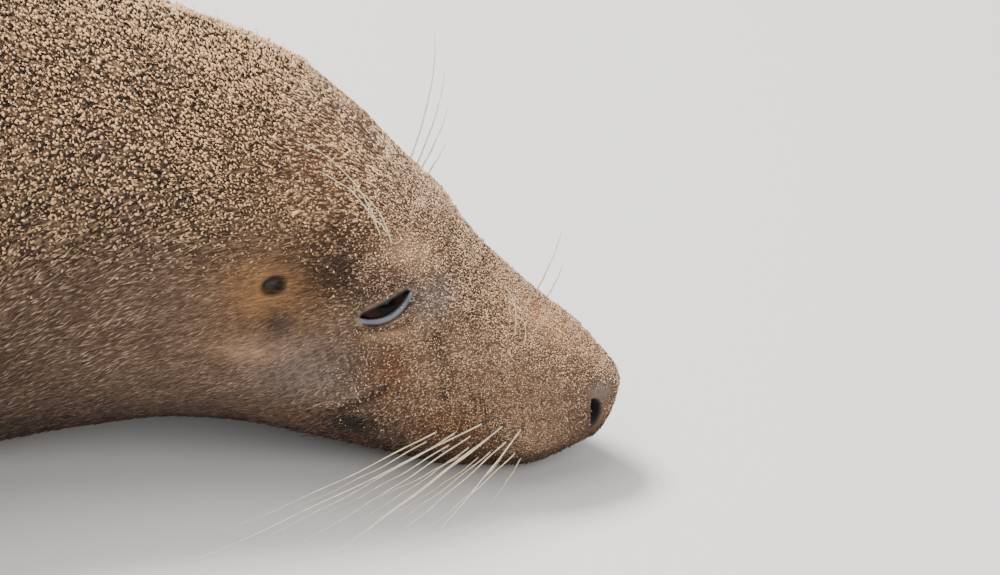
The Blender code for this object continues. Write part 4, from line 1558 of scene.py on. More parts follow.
# %% Build the tufts
def spike(bm, layers, root_side, length, width, thick, bend, rings):
    """A tapering, bending spike, in mm; rings give the share along it and its fullness there."""
    share_layer, patch_layer = layers
    root = Vector((0, root_side * MM, 0))
    length, width, thick = length * MM, width * MM, thick * MM
    loops = []
    for along_share, fullness in rings:
        centre = root + Vector((bend * along_share**2 * length, 0, along_share * length))
        loops.append([])
        for corner in range(3):
            angle = 2 * math.pi * corner / 3 + math.pi
            offset = Vector((math.cos(angle) * thick, math.sin(angle) * width, 0)) * fullness
            loops[-1].append(bm.verts.new(centre + offset))
            loops[-1][-1][share_layer] = along_share
    tip = bm.verts.new(root + Vector((bend * length, 0, length)))
    tip[share_layer] = 1.0
    corners = []
    for lower, upper in zip(loops, loops[1:]):
        for k in range(3):
            n = (k + 1) % 3
            corners += [(lower[k], lower[n], upper[n]), (lower[k], upper[n], upper[k])]
    corners += [(loops[-1][k], loops[-1][(k + 1) % 3], tip) for k in range(3)]
    for face in [bm.faces.new(three) for three in corners]:
        for corner in face.loops:
            spot = corner.vert.co
            u = 0.5 + spot.y / (4 * width + 1e-9) * 0.9
            corner[patch_layer].uv = (u, min(max(spot.z / length, 0), 1))


def crumb(bm, layers, stretch):
    """A crumb of sand: an octahedron about a millimetre across."""
    share_layer, patch_layer = layers
    across = ((0.5, 0), (0, 0.5), (-0.5, 0), (0, -0.5))
    ring = [bm.verts.new((x * MM, y * stretch * MM, 1.3 * MM)) for x, y in across]
    for height in (0.8 * MM, 1.8 * MM):
        pole = bm.verts.new((0, 0, height))
        for k in range(4):
            bm.faces.new((ring[k], ring[(k + 1) % 4], pole))
    for vert in bm.verts:
        vert[share_layer] = 1.0
    for face in bm.faces:
        for corner in face.loops:
            corner[patch_layer].uv = (0.5 + corner.vert.co.x / MM, 0.5 + corner.vert.co.y / MM)


def collection_of(name, build, variants):
    """A collection of small meshes; each variant lists the parts that are built into it."""
    group = bpy.data.collections.new(name)
    for number, parts in enumerate(variants):
        bm = bmesh.new()
        layers = (bm.verts.layers.float.new("tip_share"), bm.loops.layers.uv.new("patch"))
        for part in parts:
            build(bm, layers, *part)
        bmesh.ops.recalc_face_normals(bm, faces=bm.faces)
        mesh = bpy.data.meshes.new(f"{name}_{number}")
        bm.to_mesh(mesh)
        bm.free()
        group.objects.link(bpy.data.objects.new(mesh.name, mesh))
    return group


print("builders:", spike.__name__, crumb.__name__)

# %% [markdown]
# Wet guard hair clings together in locks like clubs, and sand balls up near the tips of short fur.
# So a spike's rings say how full it is along its length.

# %% Variants of each tuft
CLUB = ((0.0, 0.6), (0.55, 1.0), (0.85, 0.75))
CRUMB = ((0.0, 0.35), (0.5, 0.75), (0.82, 1.0))
BLADE = ((0.0, 0.7), (0.5, 1.0))
# Each spike: where its root is to the side, length, width, thickness, bend, and its rings.
SPIKES = {
    "clumps": (
        [(0, 3.8, 0.92, 0.70, -0.10, CRUMB)],
        [(0, 4.4, 0.74, 0.58, -0.25, CRUMB)],
        [(0, 3.0, 1.12, 0.80, 0.10, CRUMB)],
        [(0.3, 4.0, 0.6, 0.5, -0.2, BLADE), (-0.5, 3.0, 0.6, 0.5, 0.2, BLADE)],
    ),
    "short": (
        [(0, 3.2, 0.50, 0.28, -0.10, BLADE)],
        [(0, 3.8, 0.42, 0.25, -0.18, BLADE)],
        [(0, 2.6, 0.60, 0.30, 0.0, BLADE)],
    ),
    "smooth": (
        [(0, 8.0, 0.45, 0.25, -0.06, BLADE)],
        [(0, 10.0, 0.38, 0.22, -0.09, BLADE)],
        [(0, 6.5, 0.55, 0.28, -0.03, BLADE)],
    ),
    "locks": (
        [(0, 14.0, 2.0, 0.7, -0.08, CLUB)],
        [(0, 16.0, 1.6, 0.6, -0.12, CLUB)],
        [(0, 12.0, 2.4, 0.7, -0.05, CLUB)],
    ),
    "stray": (
        [(0, 10.0, 0.14, 0.12, -0.10, BLADE)],
        [(0, 13.0, 0.12, 0.10, -0.20, BLADE)],
        [(0, 8.0, 0.14, 0.12, 0.08, BLADE)],
    ),
}
tufts = {kind: collection_of(kind, spike, variants) for kind, variants in SPIKES.items()}
tufts["sand"] = collection_of("sand", crumb, ([(0.8,)], [(1.1,)], [(1.35,)]))

# %% [markdown]
# ## The coat's node tree
# Geometry Nodes cut out a stretch of skin, throw points on it that keep a least distance, and stand
# a tuft on each point, along the hair's lie and lifted off the surface. Realized, each tuft still
# knows the attributes of its root, and gets a patch of the bake map at its root's place.

# %% Build the coat tree
PATCH = 0.003
MATHS = "ShaderNodeMath"
VECTORS = "ShaderNodeVectorMath"
NAMED = "GeometryNodeInputNamedAttribute"
CHANCE = "FunctionNodeRandomValue"
# Inputs of the coat tree, and attributes that the finished coat has no use for.
COAT_INPUTS = {
    "Geometry": "NodeSocketGeometry",
    "Tufts": "NodeSocketCollection",
    "Zone": "NodeSocketString",
    "Pitch": "NodeSocketFloat",
    "Spread": "NodeSocketFloat",
    "From": "NodeSocketFloat",
    "To": "NodeSocketFloat",
    "Toss": "NodeSocketFloat",
    "Thick": "NodeSocketFloat",
    "Seed": "NodeSocketInt",
    "Material": "NodeSocketMaterial",
}
SPENT = (*values_by_name, "flow", "lie", "patch")


def new_tree(name, inputs):
    """A node tree with these inputs and one mesh as its result; also gives the inputs' sockets."""
    tree = bpy.data.node_groups.new(name, "GeometryNodeTree")
    for label, kind in inputs.items():
        tree.interface.new_socket(label, in_out="INPUT", socket_type=kind)
    tree.interface.new_socket("Geometry", in_out="OUTPUT", socket_type="NodeSocketGeometry")
    return tree, tree.nodes.new("NodeGroupInput").outputs


def end_tree(tree, geometry, material):
    dyed = add_node(tree, "GeometryNodeSetMaterial", {"Geometry": geometry, "Material": material})
    set_inputs(tree, tree.nodes.new("NodeGroupOutput"), {0: dyed})
    return tree


print("inputs of the coat tree:", list(COAT_INPUTS))

# %% [markdown]
# One tree serves every piece of the coat, and its inputs make the difference. In order, it cuts the
# stretch, scatters the points, turns and sizes the tufts, and lays out the bake map.

# %% The tree itself
def coat_tree():
    tree, given = new_tree("coat", COAT_INPUTS)
    add = partial(add_node, tree)
    fields = ("behind", "zone", "limb", "around", "lift", "size", given["Zone"])
    behind, zone, limb, around, lift, size, grows = (
        add(NAMED, {"Name": name}, data_type="FLOAT") for name in fields
    )
    lie, patch = (add(NAMED, {"Name": name}, data_type="FLOAT_VECTOR") for name in ("lie", "patch"))
    start, end, pitch, spread = (given[name] for name in ("From", "To", "Pitch", "Spread"))

    # Keep the stretch of skin between From and To, where this kind of tuft grows.
    before = add(MATHS, {0: behind, 1: start}, operation="LESS_THAN")
    beyond = add(MATHS, {0: behind, 1: end}, operation="GREATER_THAN")
    bare = add(MATHS, {0: grows, 1: 0.02}, operation="LESS_THAN")
    outside = add(MATHS, {0: before, 1: beyond}, operation="MAXIMUM")
    outside = add(MATHS, {0: outside, 1: bare}, operation="MAXIMUM")
    spare = add(MATHS, {0: outside, 1: 0.5}, operation="GREATER_THAN")
    cut = {"Geometry": given["Geometry"], "Selection": spare}
    stretch = add("GeometryNodeDeleteGeometry", cut, domain="FACE")

    # Density for a least distance of one pitch, before the close ones are taken out.
    area = add(MATHS, {0: pitch, 1: pitch}, operation="MULTIPLY")
    spots = {
        "Mesh": stretch,
        "Distance Min": pitch,
        "Density Max": add(MATHS, {0: 4.0, 1: area}, operation="DIVIDE"),
        "Density Factor": grows,
        "Seed": given["Seed"],
    }
    scatter = add("GeometryNodeDistributePointsOnFaces", spots, distribute_method="POISSON")
    normal = scatter.outputs["Normal"]

    # Four chances for each tuft: its shade, its lift, its size and its tilt.
    smallest = add(MATHS, {0: 1.0, 1: spread}, operation="SUBTRACT")
    largest = add(MATHS, {0: 1.0, 1: spread}, operation="ADD")
    shade, wobble, growth = (
        add(CHANCE, {2: low, 3: high, "Seed": seed}, data_type="FLOAT").outputs[1]
        for low, high, seed in ((0.0, 1.0, 7), (0.7, 1.35, 3), (smallest, largest, 11))
    )
    tilts = {0: (-0.28, -0.12, -0.35), 1: (0.28, 0.12, 0.35), "Seed": 5}
    tilt = add(CHANCE, tilts, data_type="FLOAT_VECTOR")
    stored = {"Name": "shade", "Geometry": scatter, "Value": shade}
    shaded = add("GeometryNodeStoreNamedAttribute", stored, data_type="FLOAT", domain="POINT")

    # Direction: the lie turned up towards the outward direction by the lift, then tilted.
    lift = add(MATHS, {0: lift, 1: wobble}, operation="MULTIPLY")
    level_share = add(MATHS, {0: lift}, operation="COSINE")
    upright_share = add(MATHS, {0: lift}, operation="SINE")
    flat = add(VECTORS, {0: lie, "Scale": level_share}, operation="SCALE")
    upward = add(VECTORS, {0: normal, "Scale": upright_share}, operation="SCALE")
    direction = add(VECTORS, {0: flat, 1: upward}, operation="ADD")
    tossed = add(VECTORS, {0: tilt, "Scale": given["Toss"]}, operation="SCALE")
    axes = {"Primary Axis": direction, "Secondary Axis": normal}
    turned = add("FunctionNodeAxesToRotation", axes, primary_axis="Z", secondary_axis="X")
    loose = add("FunctionNodeRotateRotation", {0: turned, 1: tossed}, rotation_space="LOCAL")

    # Size: the skin's own, give or take the spread.
    tall = add(MATHS, {0: size, 1: growth}, operation="MULTIPLY")
    wide = add(MATHS, {0: tall, 1: given["Thick"]}, operation="MULTIPLY")
    shapes = {"Collection": given["Tufts"], "Separate Children": True, "Reset Children": True}
    stand = {
        "Points": shaded,
        "Instance": add("GeometryNodeCollectionInfo", shapes),
        "Pick Instance": True,
        "Rotation": loose,
        "Scale": add("ShaderNodeCombineXYZ", {0: wide, 1: wide, 2: tall}),
    }
    stood = add("GeometryNodeInstanceOnPoints", stand)
    real = add("GeometryNodeRealizeInstances", {"Geometry": stood})

    # Bake map: the root's place on the unwrap, plus the tuft's own small patch. The trunk is
    # unwrapped by distance and turn, and each limb has a strip of its own.
    passed = add(MATHS, {0: behind, 1: start}, operation="SUBTRACT")
    stretch_length = add(MATHS, {0: end, 1: start}, operation="SUBTRACT")
    body_u = add(MATHS, {0: passed, 1: stretch_length}, operation="DIVIDE")
    limb_number = add(MATHS, {0: zone, 1: 1.0}, operation="SUBTRACT")
    limb_v = add(MATHS, {0: limb_number, 1: around}, operation="ADD")
    limb_v = add(MATHS, {0: limb_v, 1: 5.0}, operation="DIVIDE")
    on_limb = add(MATHS, {0: zone, 1: 0.5}, operation="GREATER_THAN")
    on_trunk = add(MATHS, {0: 1.0, 1: on_limb}, operation="SUBTRACT")
    root = {}
    for axis, (of_body, of_limb) in enumerate(((body_u, limb), (around, limb_v))):
        from_body = add(MATHS, {0: of_body, 1: on_trunk}, operation="MULTIPLY")
        from_limb = add(MATHS, {0: of_limb, 1: on_limb}, operation="MULTIPLY")
        value = add(MATHS, {0: from_body, 1: from_limb}, operation="ADD")
        inside = {"To Min": 0.004, "To Max": 0.992, "Value": value}
        root[axis] = add("ShaderNodeMapRange", inside, clamp=True)
    corner = add("ShaderNodeCombineXYZ", root)
    small = add(VECTORS, {0: patch, "Scale": PATCH}, operation="SCALE")
    bake = add(VECTORS, {0: corner, 1: small}, operation="ADD")
    kept = {"Name": "OFBake", "Geometry": real, "Value": bake}
    clean = add("GeometryNodeStoreNamedAttribute", kept, data_type="FLOAT2", domain="CORNER")
    for name in SPENT:
        clean = add("GeometryNodeRemoveAttribute", {"Name": name, "Geometry": clean})
    smooth = add("GeometryNodeSetShadeSmooth", {"Geometry": clean})
    return end_tree(tree, smooth, given["Material"])


COAT = coat_tree()
print("nodes in the coat tree:", len(COAT.nodes))

# %% [markdown]
# A tree only shows its result on an object. For a plain mesh that is the same everywhere, the tree
# is run once, its result is kept, and the modifier is taken off.

# %% Turn a tree's result into a mesh
def run_tree(name, mesh, tree, **inputs):
    """A new object with the plain mesh that a node tree makes of this one."""
    thing = new_object(name, mesh)
    modifier = thing.modifiers.new(tree.name, "NODES")
    modifier.node_group = tree
    for socket in tree.interface.items_tree:
        if socket.in_out == "INPUT" and socket.name in inputs:
            modifier[socket.identifier] = inputs[socket.name]
    thing.update_tag()
    graph = bpy.context.evaluated_depsgraph_get()
    thing.data = bpy.data.meshes.new_from_object(thing.evaluated_get(graph))
    thing.modifiers.clear()
    bpy.data.meshes.remove(mesh)
    thing.data.name = name
    return thing


print("sockets that a piece sets:", len(COAT_INPUTS) - 1)

# %% [markdown]
# ## Growing the coat
# The coat grows in stretches, so that each piece stays light enough: stubble on the face, clumps
# from crown to shoulders, combed hair on cheeks and throat, guard hair on the trunk, and fine hair
# on the limbs. Grains of sand lie between the stubble, and a few long hairs stray over the clumps.

# %% Grow the coat
# Name, kind of tuft, zone, pitch in mm, from and to behind the nose, thickness, material slot.
COAT_PIECES = (
    ("muzzle_stubble", "short", "short", 1.05, 0.0, 0.085, 1.0, "face"),
    ("face_stubble", "short", "short", 1.35, 0.085, 0.27, 1.2, "face"),
    ("crown_clumps", "clumps", "clumps", 1.42, 0.14, 0.30, 1.0, "coat"),
    ("shoulder_clumps", "clumps", "clumps", 1.75, 0.30, 0.46, 1.15, "coat"),
    ("withers_clumps", "clumps", "clumps", 2.5, 0.46, 0.76, 1.6, "coat"),
    ("cheek_hair", "smooth", "smooth", 1.8, 0.14, 0.30, 1.1, "throat"),
    ("neck_hair", "smooth", "smooth", 2.0, 0.30, 0.76, 1.5, "throat"),
    ("chest_locks", "locks", "locks", 5.0, 0.40, 0.90, 0.9, "coat"),
    ("loin_locks", "locks", "locks", 5.6, 0.90, 1.40, 0.9, "coat"),
    ("rump_locks", "locks", "locks", 4.2, 1.40, 1.70, 0.8, "coat"),
    ("limb_hair", "smooth", "limbs", 3.2, 0.0, 3.0, 1.2, "flipper"),
    ("muzzle_sand", "sand", "grit", 1.0, 0.0, 0.10, 1.35, "face"),
    ("brow_sand", "sand", "grit", 1.25, 0.10, 0.27, 1.3, "face"),
    ("stray_hair", "stray", "clumps", 6.0, 0.14, 0.60, 1.0, "coat"),
)
# How far each kind is tossed about from the lie; 1 is combed, as the others are.
TOSS = {"clumps": 2.4, "short": 1.4, "stray": 1.5}
# How much a tuft's size may differ, either way.
CLUMP_SPREAD = 0.4
HAIR_SPREAD = 0.25
triangles = 0
for number, (name, kind, grows, pitch, start, end, thick, slot) in enumerate(COAT_PIECES):
    inputs = {
        "Tufts": tufts[kind],
        "Zone": grows,
        "Pitch": pitch * MM,
        "From": start,
        "To": end,
        "Thick": thick,
        "Toss": TOSS.get(kind, 1.0),
        "Spread": CLUMP_SPREAD if kind == "clumps" else HAIR_SPREAD,
        "Seed": number + 1,
        "Material": looks[kind],
    }
    piece = run_tree(name, skin.data.copy(), COAT, **inputs)
    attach(piece, "root")
    triangles += len(piece.data.polygons)
    print(f"{name}: {len(piece.data.polygons)} triangles")
for group in tufts.values():
    for thing in list(group.objects):
        bpy.data.objects.remove(thing, do_unlink=True)
    bpy.data.collections.remove(group)
print("coat:", triangles, "triangles")

# %% [markdown]
# ## Eyes
# A seal's eye is large and nearly all dark iris and pupil, under a thick film of tears. The ball is
# a fine sphere of its own, in the place of the solid one. Its look comes from how far a point is
# from the eye's axis: a black pupil, a red brown iris, and a dark rim.

# %% Build the eyes
EYE_COLUMNS = 56
EYE_ROWS = 36
CORNEA_BULGE = 0.6 * MM
CORNEA_REACH = 0.45


def eye_material():
    """Wet eye: dark red brown iris under a clear, mirror-smooth cornea."""
    made, tree, shader = new_material("wet dark eye")
    axis = add_node(tree, "ShaderNodeAttribute", attribute_name="from_axis").outputs["Fac"]
    ramp = add_node(tree, "ShaderNodeValToRGB", {0: axis})
    iris = ((0.16, "#060303"), (0.24, "#190a08"), (0.58, "#26100b"), (0.72, "#0d0706"))
    set_stops(ramp, "#040203", *iris, last="#2a2420")
    place = add_node(tree, "ShaderNodeTexCoord").outputs["Object"]
    # Mottling of the iris, about a millimetre across.
    mottle = add_node(tree, "ShaderNodeTexNoise", {"Scale": 900.0, "Detail": 2.0, "Vector": place})
    depth = add_node(tree, "ShaderNodeMapRange", {"To Min": 0.75, "To Max": 1.25, "Value": mottle})
    colours = {0: 1.0, MIX_A: ramp, MIX_B: depth}
    varied = add_node(tree, "ShaderNodeMix", colours, data_type="RGBA", blend_type="MULTIPLY")
    look = {
        "Base Color": varied.outputs[MIX_OUT],
        "Roughness": 0.12,
        "IOR": 1.38,
        "Specular IOR Level": 0.14,
    }
    set_inputs(tree, shader, look)
    return made


EYE_LOOK = eye_material()


def build_eye(label, right_side):
    flip = np.array([1, right_side, 1])
    centre = EYE_CENTRE * flip
    outward = posed_vectors(np.array(centre[0]), eye_outward * flip)
    bm = bmesh.new()
    from_axis = bm.verts.layers.float.new("from_axis")
    bmesh.ops.create_uvsphere(bm, u_segments=EYE_COLUMNS, v_segments=EYE_ROWS, radius=1)
    for vert in bm.verts:
        vert[from_axis] = math.acos(max(-1.0, min(1.0, vert.co.z))) / (math.pi / 2)
        bulge = CORNEA_BULGE * math.exp(-((vert[from_axis] / CORNEA_REACH) ** 2))
        vert.co *= EYE_RADIUS + bulge
    turn = Vector((0, 0, 1)).rotation_difference(Vector(outward))
    matrix = Matrix.Translation(Vector(pose(*centre))) @ turn.to_matrix().to_4x4()
    bmesh.ops.transform(bm, matrix=matrix, verts=bm.verts)
    eye = closed_object("eyeball_" + label, bm)
    eye.data.materials.append(EYE_LOOK)
    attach(eye, "root")
    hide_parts("eye_" + label)
    print(eye.name, len(eye.data.polygons), "faces at", np.round(pose(*centre), 3).tolist())


for label, right_side in (("right", 1), ("left", -1)):
    build_eye(label, right_side)

# %% [markdown]
# ## Claws
# Each digit ends in a claw of dark horn that curves down to the ground. The claws take over the
# solids' places: a tapering tube follows the same rule, with more rings, and a rounded tip.

# %% Build the claws
# Length and radius of a claw, and the length of the flipper that it grows on.
CLAW_SIZES = {"fore": (0.026, 0.0034, FORE_LENGTH), "hind": (0.015, 0.0026, HIND_LENGTH)}
CLAW_SIDES = 12
CLAW_RINGS = 12
# Where a claw leaves the skin, how far its first ring is sunk, and where its tip rounds off.
CLAW_START = 0.0004
CLAW_SUNK = 0.002
CLAW_ROUND = 0.9


def claw_material():
    """Claw horn: dark keratin grown in long fibres, paler and scuffed towards the tip."""
    made, tree, shader = new_material("claw horn")
    tip = add_node(tree, "ShaderNodeAttribute", attribute_name="tip_share").outputs["Fac"]
    place = add_node(tree, "ShaderNodeTexCoord").outputs["Object"]
    streaks = add_node(tree, "ShaderNodeTexNoise", {"Scale": 600.0, "Detail": 3.0, "Vector": place})
    blend = add_node(tree, "ShaderNodeMath", {0: tip, 1: streaks}, operation="MULTIPLY")
    colours = {0: blend, MIX_A: colour4("#1c1713"), MIX_B: colour4("#7a6a58")}
    colour = add_node(tree, "ShaderNodeMix", colours, data_type="RGBA")
    bump = add_node(tree, "ShaderNodeBump", {"Strength": 0.4, "Distance": 0.0002, "Height": streaks})
    look = {"Base Color": colour.outputs[MIX_OUT], "Normal": bump, "Roughness": 0.38}
    set_inputs(tree, shader, look)
    return made


CLAW_LOOK = claw_material()


def build_claw(kind, label, right_side, digit):
    shape, place_of, crescent, slope, _, _ = LIMBS[kind]
    length, radius, limb_length = CLAW_SIZES[kind]
    half_width, _, middle = along(shape, 1.0)
    across = 1 - (2 * digit + 1) / DIGITS
    reach = float(tip_reach(np.array(across), crescent, slope))
    angles = np.arange(CLAW_SIDES) * 2 * math.pi / CLAW_SIDES
    rings = []
    for k in range(CLAW_RINGS):
        share = k / (CLAW_RINGS - 1)
        rounded = math.sqrt(1 - max(0, (share - CLAW_ROUND) / 0.1) ** 2 * 0.96)
        width = radius * (1 - 0.80 * share**1.5) * rounded
        beyond = CLAW_START - CLAW_SUNK * (k == 0) + length * share
        ahead = np.full(CLAW_SIDES, reach + beyond / limb_length)
        sideways = across * half_width + width * np.cos(angles) * 0.8
        height = middle + 0.0035 + radius * (0.9 * share - 1.9 * share**2)
        rings.append(place_of(right_side, ahead, sideways, height + width * np.sin(angles)))
    mesh = ring_mesh(np.maximum(rings, (-9, -9, 0.3 * MM)))
    keep_attribute(mesh, "tip_share", np.repeat(np.linspace(0, 1, CLAW_RINGS), CLAW_SIDES))
    bm = bmesh.new()
    bm.from_mesh(mesh)
    claw = closed_object(f"{kind}_claw_{label}_{digit + 1}", bm)
    claw.data.materials.append(CLAW_LOOK)
    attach(claw, "root")
    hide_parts(f"{kind}_flipper_{label}_claw_{digit + 1}")
    return claw


claws = [
    build_claw(kind, label, right_side, digit)
    for kind in CLAW_SIZES
    for label, right_side in (("right", 1), ("left", -1))
    for digit in range(DIGITS)
]
print("claws:", len(claws))

# %% [markdown]
# ## Whiskers
# Seal whiskers are stiff, straw-coloured and faintly beaded. Those of the muzzle sit in rows on the
# lip pads and sweep back and down to the ground; a few fine ones stand over each eye and on the
# bridge of the nose. Those of the lips grow from dark follicles. A whisker is a bent line first: a
# start, a tip, and a bow between. Geometry Nodes then give every line its round, tapering body.

# %% Lines of the whiskers
WHISKER_POINTS = 22
WHISKER_SIDES = 6
WHISKER_RADIUS = 0.50 * MM
WHISKER_TIP = 0.10 * MM
FLOOR_REST = 4 * MM
# How deep in the skin a whisker starts and how far out its pad lies, in mm.
ROOT_DEPTH = 1.2
PAD_OUT = 1.6
# A whisker is a little wavy: how high the waves are, and how fast they follow each other.
WAVE_HEIGHT = 0.35 * MM
WAVE_PACE = 17

# Rows on each lip pad, from the highest: turn in degrees, first and last distance behind the
# nose, number, length of the first and last whisker, how much they sweep back, first and last.
WHISKER_ROWS = (
    (101, 0.046, 0.070, 3, 0.090, 0.200, 0.48, 0.76),
    (109, 0.054, 0.096, 5, 0.105, 0.165, 0.56, 0.80),
    (118, 0.048, 0.102, 5, 0.085, 0.100, 0.54, 0.82),
    (132, 0.044, 0.082, 4, 0.040, 0.082, 0.30, 0.72),
)
# Fans over each eye and on the bridge of the nose: first place behind the nose, step between
# whiskers, turn in degrees, number, shortest and longest, how far they lean back on her right
# and on her left, thickness.
BROW_FANS = (
    (0.152, 0.004, 33, 4, 0.024, 0.080, 1.50, 0.20, 1.10),
    (0.060, 0.007, 36, 2, 0.024, 0.042, 0.60, 0.10, 1.00),
)


def bent_line(start, tip, bow):
    """Points of an arc from start to tip that bows towards the given direction."""
    share = np.linspace(0, 1, WHISKER_POINTS)[:, None]
    wave = WAVE_HEIGHT * np.sin(share * WAVE_PACE + start[0] * 900)
    arc = start + (tip - start) * share + bow * 4 * share * (1 - share)
    return arc + wave * np.array([0, 0.3, 1.0])


def whisker_base(behind, turn_degrees):
    """A place just inside the skin, and the outward direction there."""
    turn_angle = turn_degrees * DEGREE
    base = np.array([behind, *section(np.array(behind), turn_angle)])
    outward = outward_of(np.array(behind), np.array(turn_angle))
    return base - outward * ROOT_DEPTH * MM, outward


def lip_line(base, outward, length, sweep, right_side):
    """Line of a lip whisker: back and out, and down to rest just over the floor."""
    start = pose(*base)
    heading = np.array([sweep, right_side * math.sqrt(1 - sweep**2), 0])
    level = posed_vectors(np.array(base[0]), heading)
    level[2] = 0
    level /= np.linalg.norm(level)
    fall = max(start[2] - FLOOR_REST, 0)
    reach = math.sqrt(max(length**2 - fall**2, (0.4 * length) ** 2))
    tip = start + level * reach
    tip[2] = max(start[2] - 0.9 * length, FLOOR_REST + chance.uniform(0, 3) * MM)
    bow = posed_vectors(np.array(base[0]), outward) * 0.05 * length + np.array([0, 0, 0.02 * length])
    return bent_line(start, tip, bow)


print("rows of whiskers:", len(WHISKER_ROWS), "fans:", len(BROW_FANS))

# %% [markdown]
# A whisker of the lips gets its place in a row and a little chance in place, turn and length, drawn
# from a seeded generator, so each run gives the same seal. Those of a fan follow their row alone.

# %% Draw the whiskers' lines
whisker_lines = []
whisker_roots = []
follicles = []
chance = np.random.default_rng(4)
for turn_degrees, first, last, count, short, long, first_sweep, last_sweep in WHISKER_ROWS:
    for right_side in (1, -1):
        for k in range(count):
            share_of_row = k / (count - 1)
            behind_nose = first + (last - first) * share_of_row + chance.uniform(-1, 1) * MM
            root_turn = right_side * (turn_degrees + chance.uniform(-2.5, 2.5))
            base, outward = whisker_base(behind_nose, root_turn)
            whisker_roots.append((behind_nose, root_turn))
            length = (short + (long - short) * share_of_row) * chance.uniform(0.92, 1.08)
            sweep = first_sweep + (last_sweep - first_sweep) * share_of_row
            whisker_lines.append((lip_line(base, outward, length, sweep, right_side), 1.0))
            pad = pose(*(base + outward * PAD_OUT * MM))
            follicles.append((pad, posed_vectors(np.array(base[0]), outward)))
for first, step, turn_degrees, count, shortest, longest, right_lean, left_lean, thick in BROW_FANS:
    for right_side, lean in ((1, right_lean), (-1, left_lean)):
        for k in range(count):
            behind_nose = first + step * k
            root_turn = right_side * (turn_degrees - 3 * (k % 2))
            base, outward = whisker_base(behind_nose, root_turn)
            whisker_roots.append((behind_nose, root_turn))
            length = shortest + (longest - shortest) * k / (count - 1)
            heading = outward + np.array([lean + 0.12 * k, 0, 0.4])
            heading /= np.linalg.norm(heading)
            bow = posed_vectors(np.array(behind_nose), np.array([-0.5, 0, 1.0])) * 0.10 * length
            tip = pose(*(base + heading * length))
            whisker_lines.append((bent_line(pose(*base), tip, bow), thick))
print("whiskers:", len(whisker_lines))

# %% [markdown]
# The node tree turns each line into a curve, reads its radius from an attribute, and sweeps a
# six-sided ring along it. The ends are capped, so every whisker is a closed solid.

# %% Give the whiskers their body
WHISKER_INPUTS = {
    "Geometry": "NodeSocketGeometry",
    "Sides": "NodeSocketInt",
    "Material": "NodeSocketMaterial",
}


def whisker_material():
    """Whisker keratin: translucent straw, beaded paler and darker."""
    made, tree, shader = new_material("straw keratin whisker")
    place = add_node(tree, "ShaderNodeTexCoord").outputs["Object"]
    beads = add_node(tree, "ShaderNodeTexNoise", {"Scale": 160.0, "Detail": 2.0, "Vector": place})
    colours = {0: beads, MIX_A: colour4("#9c845f"), MIX_B: colour4("#efe0c2")}
    look = {
        "Base Color": add_node(tree, "ShaderNodeMix", colours, data_type="RGBA").outputs[MIX_OUT],
        "Roughness": 0.35,
        "Subsurface Weight": 0.15,
        "Subsurface Radius": (0.002, 0.0015, 0.001),
    }
    set_inputs(tree, shader, look)
    return made


def whisker_tree():
    tree, given = new_tree("whiskers", WHISKER_INPUTS)
    line = add_node(tree, "GeometryNodeMeshToCurve", {"Mesh": given["Geometry"]})
    width = add_node(tree, NAMED, {"Name": "radius_here"}, data_type="FLOAT")
    circle = {"Radius": 1.0, "Resolution": given["Sides"]}
    ring = add_node(tree, "GeometryNodeCurvePrimitiveCircle", circle)
    sweep = {"Fill Caps": True, "Curve": line, "Profile Curve": ring, "Scale": width}
    body = add_node(tree, "GeometryNodeCurveToMesh", sweep)
    real = add_node(tree, "GeometryNodeRealizeInstances", {"Geometry": body})
    return end_tree(tree, real, given["Material"])


line_points = np.concatenate([points for points, _ in whisker_lines])
line_edges = [
    (number * WHISKER_POINTS + k, number * WHISKER_POINTS + k + 1)
    for number in range(len(whisker_lines))
    for k in range(WHISKER_POINTS - 1)
]
taper = WHISKER_TIP + (WHISKER_RADIUS - WHISKER_TIP) * np.linspace(1, 0, WHISKER_POINTS) ** 0.7
beading = 1 + 0.10 * np.sin(np.arange(WHISKER_POINTS) * 1.9)
line_mesh = bpy.data.meshes.new("whisker_lines")
line_mesh.from_pydata(line_points.tolist(), line_edges, [])
radii = np.concatenate([thick * taper * beading for _, thick in whisker_lines])
keep_attribute(line_mesh, "radius_here", radii)
whisker_inputs = {"Sides": WHISKER_SIDES, "Material": whisker_material()}
whiskers = run_tree("whiskers", line_mesh, whisker_tree(), **whisker_inputs)
whiskers.data.shade_smooth()


def bake_whiskers(mesh):
    """Gives each whisker a small patch of the bake map at its root's place on the unwrap."""
    points_each = len(mesh.vertices) // len(whisker_roots)
    number, place = np.divmod(read_whole(mesh.loops, "vertex_index"), points_each)
    roots = np.array(whisker_roots)[number]
    flat = np.zeros(len(number))
    root_u, root_v = unwrap_place(flat, flat, roots[:, 0], roots[:, 1] / 360 + 0.5)
    ring, side = np.divmod(place, WHISKER_SIDES)
    u = root_u + PATCH * ring / WHISKER_POINTS
    add_uv(mesh, "OFBake", u, root_v + PATCH * side / WHISKER_SIDES)


bake_whiskers(whiskers.data)
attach(whiskers, "root")
print("whiskers:", len(whiskers.data.polygons), "faces")

# %% [markdown]
# ## Follicles
# At its root each lip whisker leaves a small raised pad of bare dark skin.

# %% Build the follicles
FOLLICLE_RADIUS = 1.3 * MM


